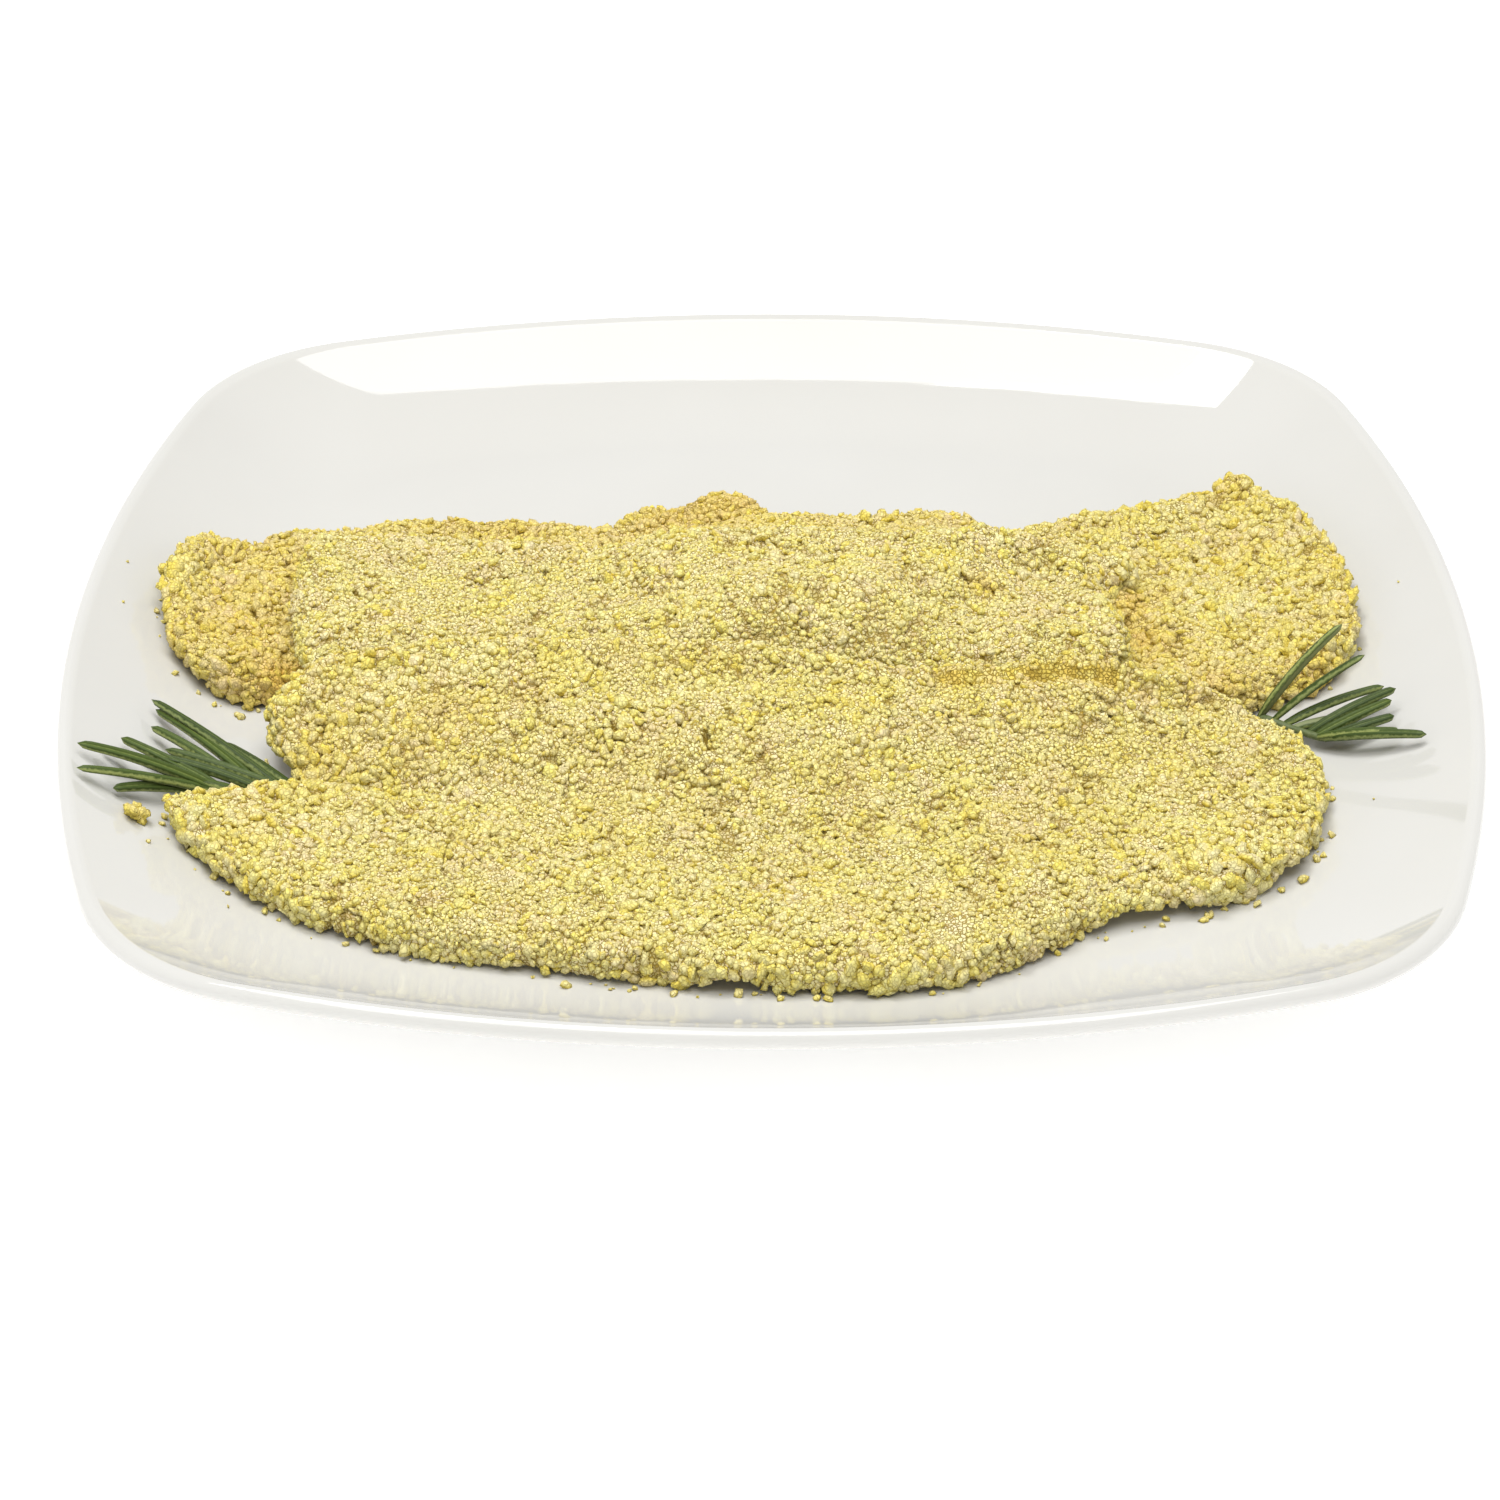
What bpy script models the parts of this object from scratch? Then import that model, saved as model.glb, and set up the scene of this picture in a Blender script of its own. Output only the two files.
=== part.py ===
"""Four breaded cutlets laid over each other on a rounded square plate, with two rosemary sprigs.

Metres, +Z up, front towards -Y. The origin is the middle of the plate's foot, on the table.
The cutlets are limp: each one is let down on whatever is already on the plate, so they are
made from the bottom of the pile upwards. Outlines, creases and needles are in millimetres.
"""

import math

import bmesh
import bpy
import numpy as np
from mathutils import Matrix, Vector, noise
from mathutils.geometry import delaunay_2d_cdt

MM = 0.001

# Plate
PLATE_HALF = 150 * MM  # middle of the plate to the middle of a side
SIDE_RADIUS = 367 * MM  # the sides are shallow arcs
CORNER_RADIUS = 47 * MM
FLOOR_HEIGHT = 8 * MM  # top of the flat floor above the table
RIM_HEIGHT = 24.5 * MM
FLOOR_HALF = 110 * MM  # where the floor starts to turn up
LIP_THICKNESS = 4.2 * MM
FOOT_HALF = 92 * MM
FOOT_WIDTH = 6 * MM
BODY_THICKNESS = 4.5 * MM
PLATE_STEPS = 72  # round the plate
SLOPE_STEPS = 5
SLOPE_CURVE = 1.9  # power of the slope's rise
CORNER_PULL = 0.1  # radians by which steps are drawn towards the corners

# Cutlets
FACET = 8 * MM  # distance between the points of a cutlet's mesh
MAP_CELL = 2.5 * MM  # grid of the height maps
CLEARANCE = 0.8 * MM  # between one cutlet and what it lies on
EDGE_WIDTH = 6 * MM  # how far in from its outline a cutlet is rounded off
EDGE_RINGS = (1.6 * MM, 4.6 * MM)  # points follow the outline at these depths
EDGE_LIFT = 0.3  # height of the outline above what it lies on, as a share of the thickness
RELAX_STEPS = 900
SAG_STEP = 0.09 * MM
BUMP_LENGTH = 35 * MM  # of the meat's slow bumps
BUMP_SHARE = 0.16  # of its thickness

# Rosemary
NEEDLE_WIDTH = 2.5 * MM
NEEDLE_HEIGHT = 1.9 * MM
STEM_RADIUS = 1.2 * MM
NEEDLE_SIDES = 6
NEEDLE_RINGS = 7

CRUMB_YELLOW = (0.72, 0.60, 0.22)
GLAZE_WHITE = (0.84, 0.82, 0.78)
LEAF_GREEN = (0.07, 0.11, 0.03)


def clear_scene():
    for obj in list(bpy.data.objects):
        bpy.data.objects.remove(obj)


def new_collection(name):
    collection = bpy.data.collections.new(name)
    bpy.context.scene.collection.children.link(collection)
    return collection


def finish_material(name, colour, roughness):
    material = bpy.data.materials.new(name)
    material.use_nodes = True
    shader = material.node_tree.nodes["Principled BSDF"]
    shader.inputs["Base Color"].default_value = (*colour, 1)
    shader.inputs["Roughness"].default_value = roughness
    shader.inputs["Metallic"].default_value = 0.0
    return material


def mesh_object(name, mesh, collection, material):
    obj = bpy.data.objects.new(name, mesh)
    collection.objects.link(obj)
    mesh.materials.clear()
    mesh.materials.append(material)
    return obj


def evaluated_mesh(obj):
    """The object's mesh with its modifiers applied; the object itself is removed."""
    graph = bpy.context.evaluated_depsgraph_get()
    mesh = bpy.data.meshes.new_from_object(obj.evaluated_get(graph))
    bpy.data.objects.remove(obj)
    return mesh


# ---------------------------------------------------------------- plate


def plate_reach(angle):
    """Middle of the plate to its outline, in one direction, as a share of PLATE_HALF."""
    side, corner = SIDE_RADIUS / PLATE_HALF, CORNER_RADIUS / PLATE_HALF
    behind = side - 1  # the side arc's middle lies this far behind the plate's own
    # The corner arc's middle is (k, k), where the corner touches the side arc from inside.
    k = (math.sqrt(2 * (side - corner) ** 2 - behind**2) - behind) / 2
    spread = side / (side - corner)
    join = math.atan2(k * spread, (k + behind) * spread - behind)
    folded = abs((angle + math.pi / 4) % (math.pi / 2) - math.pi / 4)
    cos, sin = math.cos(folded), math.sin(folded)
    if folded < join:
        return math.sqrt(side**2 - (behind * sin) ** 2) - behind * cos
    along = k * (cos + sin)
    return along + math.sqrt(corner**2 - 2 * k**2 + along**2)


def upper_profile():
    """(radius, height) down the middle of a side: the flat floor, then the curve up to the lip."""
    points = [(FLOOR_HALF * share, FLOOR_HEIGHT) for share in (0, 0.5, 0.85)]
    slope_end = PLATE_HALF - LIP_THICKNESS * 0.55
    for i in range(SLOPE_STEPS + 1):
        t = i / SLOPE_STEPS
        radius = FLOOR_HALF + (slope_end - FLOOR_HALF) * t
        points.append((radius, FLOOR_HEIGHT + (RIM_HEIGHT - FLOOR_HEIGHT) * t**SLOPE_CURVE))
    return points


def plate_profile():
    """The turned section, from the middle of the floor over the lip to the middle of the underside."""
    lip_side = RIM_HEIGHT - LIP_THICKNESS * 0.45
    lip_under = RIM_HEIGHT - LIP_THICKNESS
    underside = FLOOR_HEIGHT - BODY_THICKNESS
    return upper_profile() + [
        (PLATE_HALF, lip_side),
        (PLATE_HALF - LIP_THICKNESS * 0.4, lip_under),
        (PLATE_HALF * 0.86, FLOOR_HEIGHT - BODY_THICKNESS * 0.35),
        (FOOT_HALF + FOOT_WIDTH, underside),
        (FOOT_HALF + FOOT_WIDTH * 0.8, 0),
        (FOOT_HALF, 0),
        (FOOT_HALF - FOOT_WIDTH * 0.3, underside),
        (0, underside),
    ]


def make_plate(collection, material):
    profile = bpy.data.meshes.new("plate_profile")
    points = [(radius, 0, height) for radius, height in plate_profile()]
    profile.from_pydata(points, [(i, i + 1) for i in range(len(points) - 1)], [])
    turned = mesh_object("turned_plate", profile, collection, material)
    screw = turned.modifiers.new("turn", "SCREW")
    screw.steps = screw.render_steps = PLATE_STEPS
    screw.use_merge_vertices = True
    screw.merge_threshold = 0.05 * MM
    mesh = evaluated_mesh(turned)
    for vertex in mesh.vertices:
        radius = math.hypot(vertex.co.x, vertex.co.y)
        angle = math.atan2(vertex.co.y, vertex.co.x)
        angle += CORNER_PULL * math.sin(4 * angle)
        vertex.co.x = radius * plate_reach(angle) * math.cos(angle)
        vertex.co.y = radius * plate_reach(angle) * math.sin(angle)
    mesh.name = "plate"
    mesh.shade_smooth()
    mesh.set_sharp_from_angle(angle=math.radians(40))
    return mesh_object("plate", mesh, collection, material)


# ---------------------------------------------------------------- height maps

MAP_LINE = np.arange(-PLATE_HALF, PLATE_HALF + MAP_CELL / 2, MAP_CELL)
MAP_X, MAP_Y = np.meshgrid(MAP_LINE, MAP_LINE, indexing="ij")


def plate_surface():
    """Height of the plate's upper face at each cell of the map."""
    angles = np.arctan2(MAP_Y, MAP_X)
    reach = np.vectorize(plate_reach)(angles)
    radii, heights = zip(*upper_profile())
    return np.interp(np.hypot(MAP_X, MAP_Y) / reach, radii, heights)


def blurred(field, weight):
    """Mean over each cell's neighbours that belong to the sheet."""
    total, share = np.zeros_like(field), np.zeros_like(field)
    padded, padded_weight = np.pad(field * weight, 1), np.pad(weight, 1)
    size = field.shape[0]
    for i in range(3):
        for j in range(3):
            total += padded[i : i + size, j : j + size]
            share += padded_weight[i : i + size, j : j + size]
    return np.where(share > 0, total / np.maximum(share, 1), field)


def widened(field):
    """The highest of each cell and its neighbours, so that nothing is bent too sharply over an edge."""
    padded = np.pad(field, 1, mode="edge")
    size = field.shape[0]
    moved = [padded[i : i + size, j : j + size] for i in range(3) for j in range(3)]
    return np.max(moved, axis=0)


def draped(support, inside):
    """A limp sheet let down on a height map: it lies on what is high and bridges the rest."""
    weight = inside.astype(float)
    sheet = np.full_like(support, support[inside].max())
    for _ in range(RELAX_STEPS):
        sheet = np.maximum(support, blurred(sheet, weight) - SAG_STEP)
    for _ in range(3):
        sheet = np.maximum(support, blurred(sheet, weight))
    return sheet


def read_map(field, x, y):
    """The map's height at any point, between its cells."""
    u = min(max((x - MAP_LINE[0]) / MAP_CELL, 0), len(MAP_LINE) - 1.001)
    v = min(max((y - MAP_LINE[0]) / MAP_CELL, 0), len(MAP_LINE) - 1.001)
    i, j = int(u), int(v)
    u, v = u - i, v - j
    low = field[i, j] * (1 - v) + field[i, j + 1] * v
    high = field[i + 1, j] * (1 - v) + field[i + 1, j + 1] * v
    return low * (1 - u) + high * u


# ---------------------------------------------------------------- cutlets


def smooth_loop(corners, per_side=5):
    """A closed curve through the outline's corners (Catmull-Rom), as points in metres."""
    points = [Vector(corner) * MM for corner in corners]
    count = len(points)
    loop = []
    for i in range(count):
        p0, p1, p2, p3 = (points[(i + k - 1) % count] for k in range(4))
        for step in range(per_side):
            t = step / per_side
            loop.append(
                0.5
                * (
                    2 * p1
                    + (p2 - p0) * t
                    + (2 * p0 - 5 * p1 + 4 * p2 - p3) * t**2
                    + (3 * p1 - p0 - 3 * p2 + p3) * t**3
                )
            )
    return np.array([tuple(p) for p in loop])


def depth_inside(loop, x, y):
    """Distance to the outline, positive inside it."""
    x, y = np.atleast_1d(x).astype(float), np.atleast_1d(y).astype(float)
    nearest = np.full(x.shape, 1.0)
    inside = np.zeros(x.shape, bool)
    for (ax, ay), (bx, by) in zip(loop, np.roll(loop, -1, axis=0)):
        dx, dy = bx - ax, by - ay
        t = np.clip(((x - ax) * dx + (y - ay) * dy) / (dx * dx + dy * dy), 0, 1)
        nearest = np.minimum(nearest, np.hypot(x - ax - t * dx, y - ay - t * dy))
        crosses = (ay > y) != (by > y)
        with np.errstate(divide="ignore", invalid="ignore"):
            inside ^= crosses & (x < ax + (y - ay) * dx / dy)
    return np.where(inside, nearest, -nearest)


def edge_round(depth):
    """Share of the full thickness at a distance in from the outline: a quarter round."""
    t = np.clip(depth / EDGE_WIDTH, 0, 1)
    return np.sqrt(1 - (1 - t) ** 2)


def valley(x, y, line):
    """0 to 1 across a crease that runs straight from one point to another."""
    (ax, ay), (bx, by), width = line
    ax, ay, bx, by, width = (value * MM for value in (ax, ay, bx, by, width))
    dx, dy = bx - ax, by - ay
    t = np.clip(((x - ax) * dx + (y - ay) * dy) / (dx * dx + dy * dy), 0, 1)
    away = np.hypot(x - ax - t * dx, y - ay - t * dy)
    return np.exp(-((away / width) ** 2)) * (1 - 0.6 * t)


def meat_thickness(cutlet, x, y):
    """Thickness of the meat and its coating, with slow bumps and the cutlet's creases."""
    bump = noise.noise(Vector((x / BUMP_LENGTH, y / BUMP_LENGTH, cutlet["seed"])))
    thickness = cutlet["thickness"] * MM * (1 + BUMP_SHARE * bump)
    for line, depth in cutlet["creases"]:
        thickness -= depth * MM * valley(x, y, line)
    return thickness


def sheet_points(loop):
    """Points over the outline's inside: rings that follow its edge, then an even hexagonal field."""
    ahead, behind = np.roll(loop, -1, axis=0), np.roll(loop, 1, axis=0)
    along = ahead - behind
    along /= np.hypot(along[:, 0], along[:, 1])[:, None]
    inward = np.stack([-along[:, 1], along[:, 0]], axis=1)
    if depth_inside(loop, *(loop + 0.001 * inward).T).mean() < 0:
        inward = -inward
    points = []
    for depth in EDGE_RINGS:
        ring = loop + depth * inward
        kept = ring[depth_inside(loop, *ring.T) > 0.85 * depth]
        points.extend(kept)
    low, high = loop.min(axis=0), loop.max(axis=0)
    row_height = FACET * math.sqrt(3) / 2
    rows = int((high[1] - low[1]) / row_height) + 1
    columns = int((high[0] - low[0]) / FACET) + 2
    for j in range(rows):
        for i in range(columns):
            point = (low[0] + (i - 0.5 * (j % 2)) * FACET, low[1] + (j + 0.5) * row_height)
            if depth_inside(loop, *point)[0] > EDGE_RINGS[-1] + 0.5 * FACET:
                points.append(np.array(point))
    spaced = []
    for point in points:
        if all(math.dist(point, other) > 0.25 * FACET for other in spaced):
            spaced.append(point)
    return spaced


def even_loop(loop, spacing):
    """The same closed curve with evenly spaced points."""
    closed = np.vstack([loop, loop[:1]])
    steps = np.hypot(*np.diff(closed, axis=0).T)
    travelled = np.concatenate([[0], np.cumsum(steps)])
    count = max(8, round(travelled[-1] / spacing))
    stops = np.linspace(0, travelled[-1], count, endpoint=False)
    return np.stack([np.interp(stops, travelled, closed[:, k]) for k in (0, 1)], axis=1)


def make_cutlet(cutlet, heights, collection, material):
    """Lays one cutlet on the height map, and returns its object and the map with it added."""
    curve = smooth_loop(cutlet["outline"])
    loop = even_loop(curve, 0.75 * FACET)
    depth_map = depth_inside(curve, MAP_X, MAP_Y)
    lies_on = draped(widened(heights) + CLEARANCE, depth_map > -1.5 * MAP_CELL)

    inner = sheet_points(loop)
    count = len(loop)
    flat = [Vector(point) for point in loop] + [Vector(point) for point in inner]
    ring = [(i, (i + 1) % count) for i in range(count)]
    points, _, triangles, *_ = delaunay_2d_cdt(flat, ring, [], 1, 0.01 * MM)
    depths = depth_inside(loop, *np.array(points).T)
    sheet = bmesh.new()
    upper, lower = [], []
    for (x, y), depth in zip(points, depths):
        thickness = float(meat_thickness(cutlet, x, y))
        rounding = float(edge_round(depth)) if depth > 0.05 * MM else 0.0
        base = read_map(lies_on, x, y)
        top = base + thickness * (EDGE_LIFT + (1 - EDGE_LIFT) * rounding)
        upper.append(sheet.verts.new((x, y, top)))
        if rounding == 0:
            lower.append(upper[-1])
        else:
            lower.append(sheet.verts.new((x, y, base + thickness * EDGE_LIFT * (1 - rounding))))
    for triangle in triangles:
        sheet.faces.new([upper[i] for i in triangle])
        sheet.faces.new([lower[i] for i in reversed(triangle)])
    mesh = bpy.data.meshes.new(cutlet["name"])
    sheet.to_mesh(mesh)
    sheet.free()
    mesh.shade_smooth()

    thickness_map = np.vectorize(lambda x, y: meat_thickness(cutlet, x, y))(MAP_X, MAP_Y)
    rounding = edge_round(depth_map)
    top = lies_on + thickness_map * (EDGE_LIFT + (1 - EDGE_LIFT) * rounding)
    heights = np.where(depth_map > -MAP_CELL, np.maximum(heights, top), heights)
    return mesh_object(cutlet["name"], mesh, collection, material), heights


# Bottom of the pile first. A crease is ((from, to, half width), depth).
CUTLETS = (
    {
        "name": "cutlet_back_right",
        "thickness": 7.5,
        "seed": 3.0,
        "outline": [
            (-22, 38), (0, 50), (30, 55), (54, 60), (66, 66), (80, 69), (94, 74), (103, 80),
            (108, 82), (113, 75), (119, 67), (124, 56), (127, 43), (129, 28), (129, 14),
            (124, 2), (113, -7), (92, -15), (60, -18), (25, -10), (-5, 4), (-21, 20),
        ],
        "creases": [(((108, 78), (96, 30), 7), 1.5)],
    },
    {
        "name": "cutlet_back_left",
        "thickness": 8.0,
        "seed": 8.0,
        "outline": [
            (-133, 18), (-134, 30), (-131, 41), (-124, 51), (-114, 56), (-100, 60), (-80, 63),
            (-64, 63), (-44, 61), (-36, 57), (-22, 59), (-12, 63), (-4, 61), (4, 54), (20, 52),
            (36, 53), (45, 51), (50, 40), (45, 22), (30, 4), (0, -8), (-50, -14), (-85, -12),
            (-101, -8), (-112, -9), (-121, -6), (-129, 3),
        ],
        "creases": [(((-116, 57), (-122, 10), 6), 2.5)],
    },
    {
        "name": "cutlet_middle",
        "thickness": 8.0,
        "seed": 5.0,
        "outline": [
            (-105, 20), (-104, 32), (-101, 40), (-93, 42), (-77, 42), (-64, 38), (-50, 38),
            (-38, 35), (-27, 31), (-9, 30), (6, 30), (22, 29), (43, 31), (55, 35), (66, 37),
            (75, 33), (82, 28), (80, 24), (74, 20), (72, 14), (75, 5), (77, -4), (74, -14),
            (70, -26), (40, -40), (0, -46), (-45, -44), (-80, -34), (-96, -20), (-101, -7),
            (-105, 6),
        ],
        "creases": [(((76, 18), (40, 22), 5), 2.0)],
    },
    {
        "name": "cutlet_front",
        "thickness": 8.2,
        "seed": 1.0,
        "outline": [
            (-125, -59), (-119, -68), (-110, -79), (-97, -89), (-84, -97), (-63, -104),
            (-42, -109), (-20, -113), (11, -116), (26, -116), (38, -112), (49, -106), (58, -99),
            (66, -93), (79, -89), (93, -84), (104.5, -75), (111.5, -63), (114.5, -52),
            (115.5, -43), (114, -33), (108.5, -25), (103, -20.5), (97, -18), (88, -17.5),
            (80, -20), (72, -22.5), (61, -22), (48, -23), (27, -22), (12, -19), (-5, -16),
            (-24, -15), (-47, -15), (-70, -15), (-83, -17), (-93, -18), (-101, -21),
            (-107, -26), (-106, -32), (-102, -37), (-98, -43), (-103, -49), (-110, -53),
            (-118, -56),
        ],
        "creases": [(((-97, -44), (-45, -58), 8), 4.0)],
    },
)


# ---------------------------------------------------------------- rosemary

# The stem's foot and end, then for each needle how far along the stem it grows and where its
# tip is. Points are (x, y, height of the middle line above the plate under it).
SPRIGS = (
    {
        "name": "rosemary_left",
        "stem": ((-101, -44.3, 2.6), (-118, -47.5, 2.8)),
        "needles": [
            (0.14, (-131, -18, 3.0)), (0.36, (-130, -20, 2.2)), (0.50, (-130, -28, 2.6)),
            (0.02, (-115, -26, 2.2)), (0.74, (-135, -37, 2.2)), (0.80, (-142, -49, 2.6)),
            (0.90, (-138, -44, 2.0)), (0.86, (-141, -58, 2.0)), (0.96, (-134, -58, 2.0)),
            (0.10, (-126, -37, 4.0)), (0.34, (-128, -41, 3.8)), (0.60, (-124, -46, 3.2)),
        ],
    },
    {
        "name": "rosemary_right",
        "stem": ((103.5, -16.2, 3.0), (117, -26.5, 3.0)),
        "needles": [
            (0.02, (120, -15, 24)), (0.20, (125, -17, 16)), (0.36, (130, -15, 5.0)),
            (0.72, (132, -18, 5.2)), (0.84, (131, -20, 4.0)), (0.96, (131, -25, 3.0)),
            (0.86, (131, -33, 4.0)), (0.92, (136, -37, 2.4)), (0.50, (124, -19, 2.6)),
        ],
    },
)


def add_needle(mesh, root, tip):
    """One leaf: a long flattened spheroid that tapers to its tip."""
    made = bmesh.ops.create_uvsphere(
        mesh, u_segments=NEEDLE_SIDES, v_segments=NEEDLE_RINGS, radius=0.5
    )
    turn = (tip - root).to_track_quat("X", "Z").to_matrix().to_4x4()
    length = (tip - root).length
    for vertex in made["verts"]:
        along = vertex.co.z + 0.5  # the sphere's poles become the leaf's two ends
        fullness = (4 * along * (1 - along)) ** 0.35 if 0 < along < 1 else 0
        girth = 2 * Vector((vertex.co.x, vertex.co.y)).length
        swell = fullness * (1 - 0.3 * along) / girth if girth > 1e-4 else 0
        vertex.co = Vector(
            (
                along * length,
                vertex.co.x * swell * NEEDLE_WIDTH,
                vertex.co.y * swell * NEEDLE_HEIGHT,
            )
        )
        vertex.co = Matrix.Translation(root) @ turn @ vertex.co


def make_sprig(sprig, floor, collection, tools, material):
    """A stem with its leaves, lying on the plate, joined to one piece."""

    def above_plate(point):
        x, y, lift = (value * MM for value in point)
        return Vector((x, y, read_map(floor, x, y) + lift))

    line = bpy.data.curves.new(sprig["name"], "CURVE")
    line.dimensions = "3D"
    line.bevel_depth = STEM_RADIUS
    line.bevel_resolution = 1
    line.use_fill_caps = True
    spline = line.splines.new("POLY")
    foot, tip = (above_plate(end) for end in sprig["stem"])
    spline.points.add(1)
    for point, end in zip(spline.points, (foot, tip)):
        point.co = (*end, 1)
    stem_curve = bpy.data.objects.new(sprig["name"] + "_stem", line)
    collection.objects.link(stem_curve)
    bpy.context.view_layer.update()
    stem_mesh = evaluated_mesh(stem_curve)
    welded = bmesh.new()
    welded.from_mesh(stem_mesh)
    bmesh.ops.remove_doubles(welded, verts=welded.verts, dist=0.01 * MM)
    bmesh.ops.recalc_face_normals(welded, faces=welded.faces)
    welded.to_mesh(stem_mesh)
    welded.free()
    stem_mesh.name = sprig["name"]
    stem = mesh_object(sprig["name"], stem_mesh, collection, material)

    leaves = bpy.data.collections.new(sprig["name"] + "_leaves")
    tools.children.link(leaves)
    for number, (along, end) in enumerate(sprig["needles"]):
        needle = bmesh.new()
        add_needle(needle, foot.lerp(tip, along), above_plate(end))
        leaf = bpy.data.meshes.new(f"{sprig['name']}_leaf_{number}")
        needle.to_mesh(leaf)
        needle.free()
        leaf_object = mesh_object(leaf.name, leaf, leaves, material)
        leaf_object.hide_render = True
        leaf_object.display_type = "WIRE"
    joined = stem.modifiers.new("leaves", "BOOLEAN")
    joined.operation = "UNION"
    joined.operand_type = "COLLECTION"
    joined.collection = leaves
    joined.solver = "EXACT"
    return stem


def main():
    clear_scene()
    served = new_collection("schnitzel_plate")
    tools = new_collection("tools")
    glaze = finish_material("glaze", GLAZE_WHITE, 0.12)
    crumbs = finish_material("crumbs", CRUMB_YELLOW, 0.85)
    leaf = finish_material("leaf", LEAF_GREEN, 0.45)
    make_plate(served, glaze)
    floor = plate_surface()
    heights = floor
    for cutlet in CUTLETS:
        _, heights = make_cutlet(cutlet, heights, served, crumbs)
    for sprig in SPRIGS:
        make_sprig(sprig, floor, served, tools, leaf)


main()
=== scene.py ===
"""Four breaded cutlets with rosemary on a white plate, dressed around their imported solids.

Blender 4.5. Metres, +Z up, front towards -Y, the plate's foot on the table at height zero.
The file follows the making: the table and its light, the plate, each cutlet with its coat of
crumbs from the bottom of the pile upwards, the crumbs that fell off, and the rosemary last.
"""

import math

import bmesh
import bpy
import numpy as np
from mathutils import Matrix, Vector, noise
from mathutils.bvhtree import BVHTree


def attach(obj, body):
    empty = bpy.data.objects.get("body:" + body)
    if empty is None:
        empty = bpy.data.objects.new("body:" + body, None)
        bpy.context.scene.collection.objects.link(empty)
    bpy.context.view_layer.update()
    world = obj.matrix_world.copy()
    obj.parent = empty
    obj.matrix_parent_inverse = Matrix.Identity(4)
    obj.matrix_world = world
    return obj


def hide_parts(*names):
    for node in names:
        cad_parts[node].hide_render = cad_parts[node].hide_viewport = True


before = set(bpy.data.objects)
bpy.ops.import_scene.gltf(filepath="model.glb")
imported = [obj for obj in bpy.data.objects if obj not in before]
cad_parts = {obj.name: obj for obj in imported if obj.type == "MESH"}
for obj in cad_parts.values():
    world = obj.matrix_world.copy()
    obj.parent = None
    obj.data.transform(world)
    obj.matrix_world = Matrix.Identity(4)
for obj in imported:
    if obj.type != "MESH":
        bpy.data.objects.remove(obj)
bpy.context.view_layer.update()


# ================================================================ table, light and camera
# A plain white table in a pale room that is brightest along the horizon, under one very wide
# lamp overhead, hung a little in front of the plate's middle, so that shadows stay close under
# the edges. A smaller lamp at the back left gives the crumbs bite.

MM = 0.001
TABLE_SIZE = 8.0
TABLE_DROP = 0.0002  # keeps the table just clear of the plate's foot
LOOK_AT = Vector((-0.0044, -0.0466, 0.022))
LOOK_DISTANCE = 0.9015
LOOK_DOWN = math.radians(32.13)
LENS = 105.35  # on a 36 mm wide sensor


def add_piece(name, mesh, material):
    """A new object in the scene, with its material."""
    piece = bpy.data.objects.new(name, mesh)
    bpy.context.scene.collection.objects.link(piece)
    mesh.materials.clear()
    mesh.materials.append(material)
    return piece


def new_material(name, roughness):
    """A material with its shader at hand: (material, nodes, links, shader)."""
    material = bpy.data.materials.new(name)
    material.use_nodes = True
    nodes, links = material.node_tree.nodes, material.node_tree.links
    shader = nodes["Principled BSDF"]
    shader.inputs["Roughness"].default_value = roughness
    return material, nodes, links, shader


def noise_node(nodes, links, scale, detail=3.0, roughness=0.5):
    """Noise over the object's own metres; scale is how many cells fit in a metre."""
    place = nodes.new("ShaderNodeTexCoord")
    texture = nodes.new("ShaderNodeTexNoise")
    texture.inputs["Scale"].default_value = scale
    texture.inputs["Detail"].default_value = detail
    texture.inputs["Roughness"].default_value = roughness
    links.new(place.outputs["Object"], texture.inputs["Vector"])
    return texture


def ramp_node(nodes, stops):
    """A colour ramp from (position, colour) stops."""
    ramp = nodes.new("ShaderNodeValToRGB")
    elements = ramp.color_ramp.elements
    while len(elements) < len(stops):
        elements.new(1.0)
    for element, (position, colour) in zip(elements, stops):
        element.position = position
        element.color = (*colour, 1)
    return ramp


def table_paint():
    material, nodes, links, shader = new_material("table_paint", 0.9)
    grain = noise_node(nodes, links, 3.0)
    ramp = ramp_node(nodes, [(0.3, (0.93, 0.93, 0.93)), (0.7, (0.95, 0.95, 0.95))])
    links.new(grain.outputs["Fac"], ramp.inputs["Fac"])
    links.new(ramp.outputs["Color"], shader.inputs["Base Color"])
    shader.inputs["Specular IOR Level"].default_value = 0.1
    shader.inputs["Emission Color"].default_value = (1, 1, 1, 1)
    shader.inputs["Emission Strength"].default_value = 0.42
    return material


def make_table():
    mesh = bmesh.new()
    bmesh.ops.create_grid(mesh, x_segments=8, y_segments=8, size=TABLE_SIZE / 2)
    bmesh.ops.translate(mesh, verts=mesh.verts, vec=(0, 0, -TABLE_DROP))
    top = bpy.data.meshes.new("table")
    mesh.to_mesh(top)
    mesh.free()
    add_piece("table", top, table_paint())


def hang_lamp(name, place, size, power, colour=(1, 1, 1)):
    """A square soft lamp that faces the middle of the plate."""
    lamp = bpy.data.lights.new(name, "AREA")
    lamp.shape = "SQUARE"
    lamp.size = size
    lamp.energy = power
    lamp.color = colour
    holder = bpy.data.objects.new(name, lamp)
    holder.location = place
    holder.rotation_euler = (-Vector(place)).to_track_quat("-Z", "Y").to_euler()
    bpy.context.scene.collection.objects.link(holder)


make_table()
hang_lamp("wide_lamp", (-0.02, -0.28, 1.45), 1.2, 20.5)
hang_lamp("small_lamp", (-0.35, 0.30, 1.5), 0.45, 7.5)

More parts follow.
